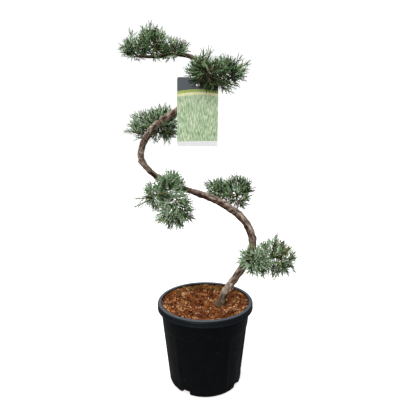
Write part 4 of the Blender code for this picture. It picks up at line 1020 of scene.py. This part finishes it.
# One spray is a feather of slim shoots: an axis, side shoots on both sides and short shoots on the longest of those.
# Its length is 1, and the sizes here are shares of that.
feather = {"variants": 14, "sideShoots": 6, "thickness": 0.046, "sideThickness": 0.036, "swell": (1.0, 0.8, 0.55),
           "bend": 0.12, "slimness": (0.75, 1.15), "longestSide": 0.28, "shortestSide": 0.08,
           "sideLengths": (0.7, 1.15), "sideDeg": (22, 42), "sideHook": 0.18, "branchesFrom": 0.34,
           "branchLengths": (0.38, 0.55), "darkerShare": 0.45, "seed": 100}


def addShoot(points, faces, start, knee, end, radius, rings):  # a slim three-sided spindle, pointed at both ends
    before = len(faces)
    path = curvePoints(start, knee, end, rings + 2)
    first = len(points)
    points.append(path[0])
    for ring in range(1, rings + 1):
        axis = unit(path[ring + 1] - path[ring - 1])
        swell = radius * feather["swell"][ring - 1]
        points += [path[ring] + squareTo(axis, math.tau * k / 3 + ring) * swell for k in range(3)]
    points.append(path[-1])
    last = len(points) - 1
    at = lambda ring, k: first + 1 + ring * 3 + k % 3
    faces += [(first, at(0, k + 1), at(0, k)) for k in range(3)]
    for ring in range(rings - 1):
        faces += [(at(ring, k), at(ring, k + 1), at(ring + 1, k + 1), at(ring + 1, k)) for k in range(3)]
    faces += [(last, at(rings - 1, k), at(rings - 1, k + 1)) for k in range(3)]
    return len(faces) - before


def featherMesh(number):  # unit length, along X, so that each instance's scale is its length
    dice = random.Random(feather["seed"] + number)
    points, faces = [], []
    slim = dice.uniform(*feather["slimness"])
    arch = dice.uniform(-1, 1) * feather["bend"]
    origin, tip, knee = np.zeros(3), np.array((1.0, 0.0, 0.0)), np.array((0.5, dice.uniform(-0.05, 0.05), arch))
    darker = [0] * addShoot(points, faces, origin, knee, tip, feather["thickness"], 3)
    spine = curvePoints(origin, knee, tip, 101)
    for k in range(feather["sideShoots"]):
        share = 0.08 + 0.72 * k / (feather["sideShoots"] - 1) + dice.uniform(-0.03, 0.03)
        root = spine[int(share * 100)]
        turn = k * math.pi + dice.uniform(-0.9, 0.9)
        out = np.array((0.0, math.cos(turn), math.sin(turn)))
        angle = math.radians(dice.uniform(*feather["sideDeg"]))
        length = feather["longestSide"] * (1 - share) ** 0.9 + feather["shortestSide"]
        length = length * dice.uniform(*feather["sideLengths"]) * slim
        direction = np.array((math.cos(angle), 0.0, 0.0)) + out * math.sin(angle)
        end = root + direction * length + np.array((feather["sideHook"], 0.0, 0.0)) * length
        middle = root + direction * length * 0.5
        shade = int(dice.random() < feather["darkerShare"])
        darker += [shade] * addShoot(points, faces, root, middle, end, feather["sideThickness"], 2)
        if length > feather["branchesFrom"]:
            for side in (-1, 1)[k % 2:1 + k % 2]:
                start = curvePoints(root, middle, end, 11)[dice.choice((3, 4, 5, 6))]
                twist = unit(np.cross(direction, out) * side + out * dice.uniform(-0.3, 0.8))
                reach = length * dice.uniform(*feather["branchLengths"])
                branchKnee = start + (direction * 0.6 + twist * 0.5) * reach * 0.5
                branchEnd = start + (direction * 0.85 + twist * 0.45) * reach
                darker += [shade] * addShoot(points, faces, start, branchKnee, branchEnd,
                                             feather["sideThickness"] * 0.85, 1)
    data = meshFrom("feather", points, faces)
    data.attributes.new("darker", "INT", "FACE").data.foreach_set("value", np.array(darker, np.int32))
    return data


def limbsPiece(name, limbs, sides, material):  # all the twigs of one pad, as one mesh of closed tapering tubes
    points, faces = [], []
    for limb in limbs:
        _, one, two = sidesAlong(limb.points)
        first, count = len(points), len(limb.points)
        for k in range(count):
            for turn in (math.tau * n / sides for n in range(sides)):
                out = one[k] * math.cos(turn) + two[k] * math.sin(turn)
                points.append(limb.points[k] + out * limb.radii[k])
        at = lambda ring, n: first + ring * sides + n % sides
        faces += [(at(k, n), at(k, n + 1), at(k + 1, n + 1), at(k + 1, n))
                  for k in range(count - 1) for n in range(sides)]
        faces += [tuple(at(0, sides - 1 - n) for n in range(sides)), tuple(at(count - 1, n) for n in range(sides))]
    piece = newObject(name, meshFrom(name, points, faces), material)
    piece.data.shade_smooth()
    return piece


def spraysPiece(name, sprays, shelf, materials):  # Geometry Nodes set a feather on every root
    seats = newObject(name, meshFrom(name, [spray[0] for spray in sprays], []))
    for column, label, kind, field, number in ((1, "sprayAxis", "FLOAT_VECTOR", "vector", np.float32),
                                               (2, "sprayLength", "FLOAT", "value", np.float32),
                                               (3, "sprayTint", "INT", "value", np.int32)):
        values = np.array([spray[column] for spray in sprays], number)
        seats.data.attributes.new(label, kind, "POINT").data.foreach_set(field, values.ravel())
    sizes = [("Feathers", "Collection", shelf), ("Last Feather", "Int", feather["variants"] - 1),
             ("Seed", "Int", growth["seed"]), ("Width", "Float", growth["sprayWidth"])]
    tree, given = startTree(name, sizes)
    axis, long, tint, darker = (
        addNode(tree, "GeometryNodeInputNamedAttribute", {"Name": label}, data_type=kind).outputs[0]
        for label, kind in (("sprayAxis", "FLOAT_VECTOR"), ("sprayLength", "FLOAT"), ("sprayTint", "INT"),
                            ("darker", "INT")))
    info = addNode(tree, "GeometryNodeCollectionInfo", {"Collection": given["Feathers"], "Separate Children": True,
                                                        "Reset Children": True}).outputs[0]
    which = addNode(tree, "FunctionNodeRandomValue", {4: 0, 5: given["Last Feather"], "Seed": given["Seed"]},
                    data_type="INT").outputs[2]
    roll = addNode(tree, "FunctionNodeRandomValue", {2: 0.0, 3: math.tau, "Seed": growth["rollSeed"]},
                   data_type="FLOAT").outputs[1]
    alongAxis = addNode(tree, "FunctionNodeAlignRotationToVector", {"Vector": axis}, axis="X").outputs[0]
    rolled = addNode(tree, "FunctionNodeAxisAngleToRotation", {"Axis": (1, 0, 0), "Angle": roll}).outputs[0]
    rotation = addNode(tree, "FunctionNodeRotateRotation", {"Rotation": alongAxis, "Rotate By": rolled},
                       rotation_space="LOCAL").outputs[0]
    wide = addNode(tree, "ShaderNodeMath", {0: long, 1: 0.5, 2: given["Width"]}, operation="MULTIPLY_ADD").outputs[0]
    size = addNode(tree, "ShaderNodeCombineXYZ", {"X": long, "Y": wide, "Z": wide}).outputs[0]
    placed = addNode(tree, "GeometryNodeInstanceOnPoints",
                     {"Points": given["Geometry"], "Instance": info, "Pick Instance": True, "Instance Index": which,
                      "Rotation": rotation, "Scale": size}).outputs[0]
    real = addNode(tree, "GeometryNodeRealizeInstances", {"Geometry": placed}).outputs[0]
    tint = addNode(tree, "ShaderNodeMath", {0: tint, 1: darker}, operation="ADD").outputs[0]
    real = addNode(tree, "GeometryNodeStoreNamedAttribute", {"Geometry": real, "Name": "shootTint", "Value": tint},
                   data_type="INT", domain="FACE").outputs[0]
    return runTree(seats, tree, setMaterials(tree, real, "shootTint", materials), sizes)


def triangles(piece):
    piece.data.calc_loop_triangles()
    return len(piece.data.loop_triangles)


leaves, woody = leafMaterials(), twigMaterial()
shelf = hiddenCollection("feather", [featherMesh(k) for k in range(feather["variants"])])
total = 0
for pad in dict.fromkeys(mass.pad for mass in masses):
    limbs, sprays, nodes = [], [], []
    for number, mass in enumerate(masses):
        if mass.pad == pad:
            newLimbs, newSprays = growMass(number)
            limbs += newLimbs
            sprays += newSprays
            nodes.append("foliage_" + mass.name)
    title = pad[0].upper() + pad[1:]
    foliage = spraysPiece("sprays" + title, sprays, shelf, leaves)
    twigs = limbsPiece("twigs" + title, limbs, growth["twigSides"], woody)
    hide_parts(*nodes)
    for piece, slot in ((foliage, "foliage"), (twigs, "bark")):
        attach(piece, "root")
    total += triangles(foliage) + triangles(twigs)
    print(pad, "has", len(limbs), "twigs,", len(sprays), "sprays,", triangles(foliage), "and", triangles(twigs),
          "triangles")
clearShelf(shelf)
print("foliage done:", total, "triangles")

# Boughs: short limbs with the same bark, from the stem into each mass.
boughs = []
for mass in masses:
    start, knee, end = boughPath(mass)
    count = max(int(np.linalg.norm(end - start) / growth["boughRingGap"]), 8)
    boughs.append(barkedLimb("bough", curvePoints(start, knee, end, count), np.linspace(*growth["boughRadii"], count),
                             growth["boughSides"], [], growth["boughRelief"], barkMaterial))
with bpy.context.temp_override(active_object=boughs[0], selected_editable_objects=boughs):
    bpy.ops.object.join()
boughPiece = boughs[0]
boughPiece.name = "barkedBoughs"
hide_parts(*["bough_" + mass.name for mass in masses])
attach(boughPiece, "root")
print("boughs done")

# Label: a printed plastic card on a green tie, with a plain design of its own and no lettering.
card = {"rollDeg": -0.8, "headerDrop": 30 * mm, "ribbonDrop": 37 * mm, "leafyDrop": 44 * mm, "footerHeight": 14 * mm,
        "sag": 5 * mm, "blur": 0.6 * mm, "footerBlur": 0.4 * mm, "bladeDeg": 38, "bladeStretch": 0.28,
        "blade": 3.2 * mm, "cloud": 22 * mm, "headTone": "#39434a", "footTone": "#f6f7f5",
        "freshTones": [(0.35, "#86a238"), (0.6, "#b3c45c")], "ribbonTones": [(0.35, "#e4e290"), (0.6, "#f9f4c4")],
        "leafyTones": [(0.34, "#7a9e6b"), (0.45, "#a2c190"), (0.53, "#bfd5ab"), (0.64, "#e8eed4")]}


def printedCard():  # laminated plastic card: a slate head, a cream ribbon, mottled soft greens and a white foot
    material, tree, shader = startMaterial("printedPlasticCard", "#c8dcb0", 0.38)
    middle = (labelLow + labelHigh) / 2
    tall, wide = labelHigh[2] - labelLow[2], labelHigh[0] - labelLow[0]
    place = addNode(tree, "ShaderNodeTexCoord").outputs["Object"]
    onCard = addNode(tree, "ShaderNodeMapping", {"Vector": place, "Location": tuple(-middle)}).outputs[0]
    turned = addNode(tree, "ShaderNodeMapping",
                     {"Vector": onCard, "Rotation": (0, math.radians(-card["rollDeg"]), 0)}).outputs[0]
    axes = addNode(tree, "ShaderNodeSeparateXYZ", {"Vector": turned}).outputs
    # How far down from the top edge each point is, along lines that sag towards the sides.
    across = addNode(tree, "ShaderNodeMath", {0: axes["X"], 1: wide / 2}, operation="DIVIDE").outputs[0]
    arch = addNode(tree, "ShaderNodeMath", {0: across, 1: across}, operation="MULTIPLY").outputs[0]
    fromTop = addNode(tree, "ShaderNodeMath", {0: tall / 2, 1: axes["Z"]}, operation="SUBTRACT").outputs[0]
    down = addNode(tree, "ShaderNodeMath", {0: arch, 1: -card["sag"], 2: fromTop},
                   operation="MULTIPLY_ADD").outputs[0]
    strokes = addNode(tree, "ShaderNodeMapping",
                      {"Vector": turned, "Rotation": (0, math.radians(card["bladeDeg"]), 0),
                       "Scale": (1, 1, card["bladeStretch"])}).outputs[0]
    blades, clouds = (
        addNode(tree, "ShaderNodeTexNoise", {"Vector": where, "Scale": 1 / size, "Detail": detail}).outputs["Fac"]
        for where, size, detail in ((strokes, card["blade"], 2.5), (turned, card["cloud"], 2.0)))
    clouded = addNode(tree, "ShaderNodeMath", {0: clouds, 1: 0.28}, operation="MULTIPLY").outputs[0]
    mottled = addNode(tree, "ShaderNodeMath", {0: blades, 1: 0.72, 2: clouded}, operation="MULTIPLY_ADD").outputs[0]
    tone = linear(card["headTone"])
    for drop, tones in (("headerDrop", "freshTones"), ("ribbonDrop", "ribbonTones"), ("leafyDrop", "leafyTones")):
        below = addNode(tree, "ShaderNodeMapRange", {"Value": down, "From Min": card[drop] - card["blur"],
                                                     "From Max": card[drop] + card["blur"]}).outputs[0]
        band = addNode(tree, "ShaderNodeValToRGB", {"Fac": mottled}, card[tones]).outputs["Color"]
        tone = addNode(tree, "ShaderNodeMix", {0: below, 6: tone, 7: band}, data_type="RGBA").outputs[2]
    footTop = -tall / 2 + card["footerHeight"]
    footer = addNode(tree, "ShaderNodeMapRange", {"Value": axes["Z"], "From Min": footTop + card["footerBlur"],
                                                  "From Max": footTop - card["footerBlur"]}).outputs[0]
    tone = addNode(tree, "ShaderNodeMix", {0: footer, 6: tone, 7: linear(card["footTone"])},
                   data_type="RGBA").outputs[2]
    tree.links.new(tone, shader.inputs["Base Color"])
    return material


finishNode("label", printedCard())
finishNode("label_tie", startMaterial("greenPlasticTie", "#49633f", 0.5)[0])  # soft plastic, with a faint shine
print("label done")
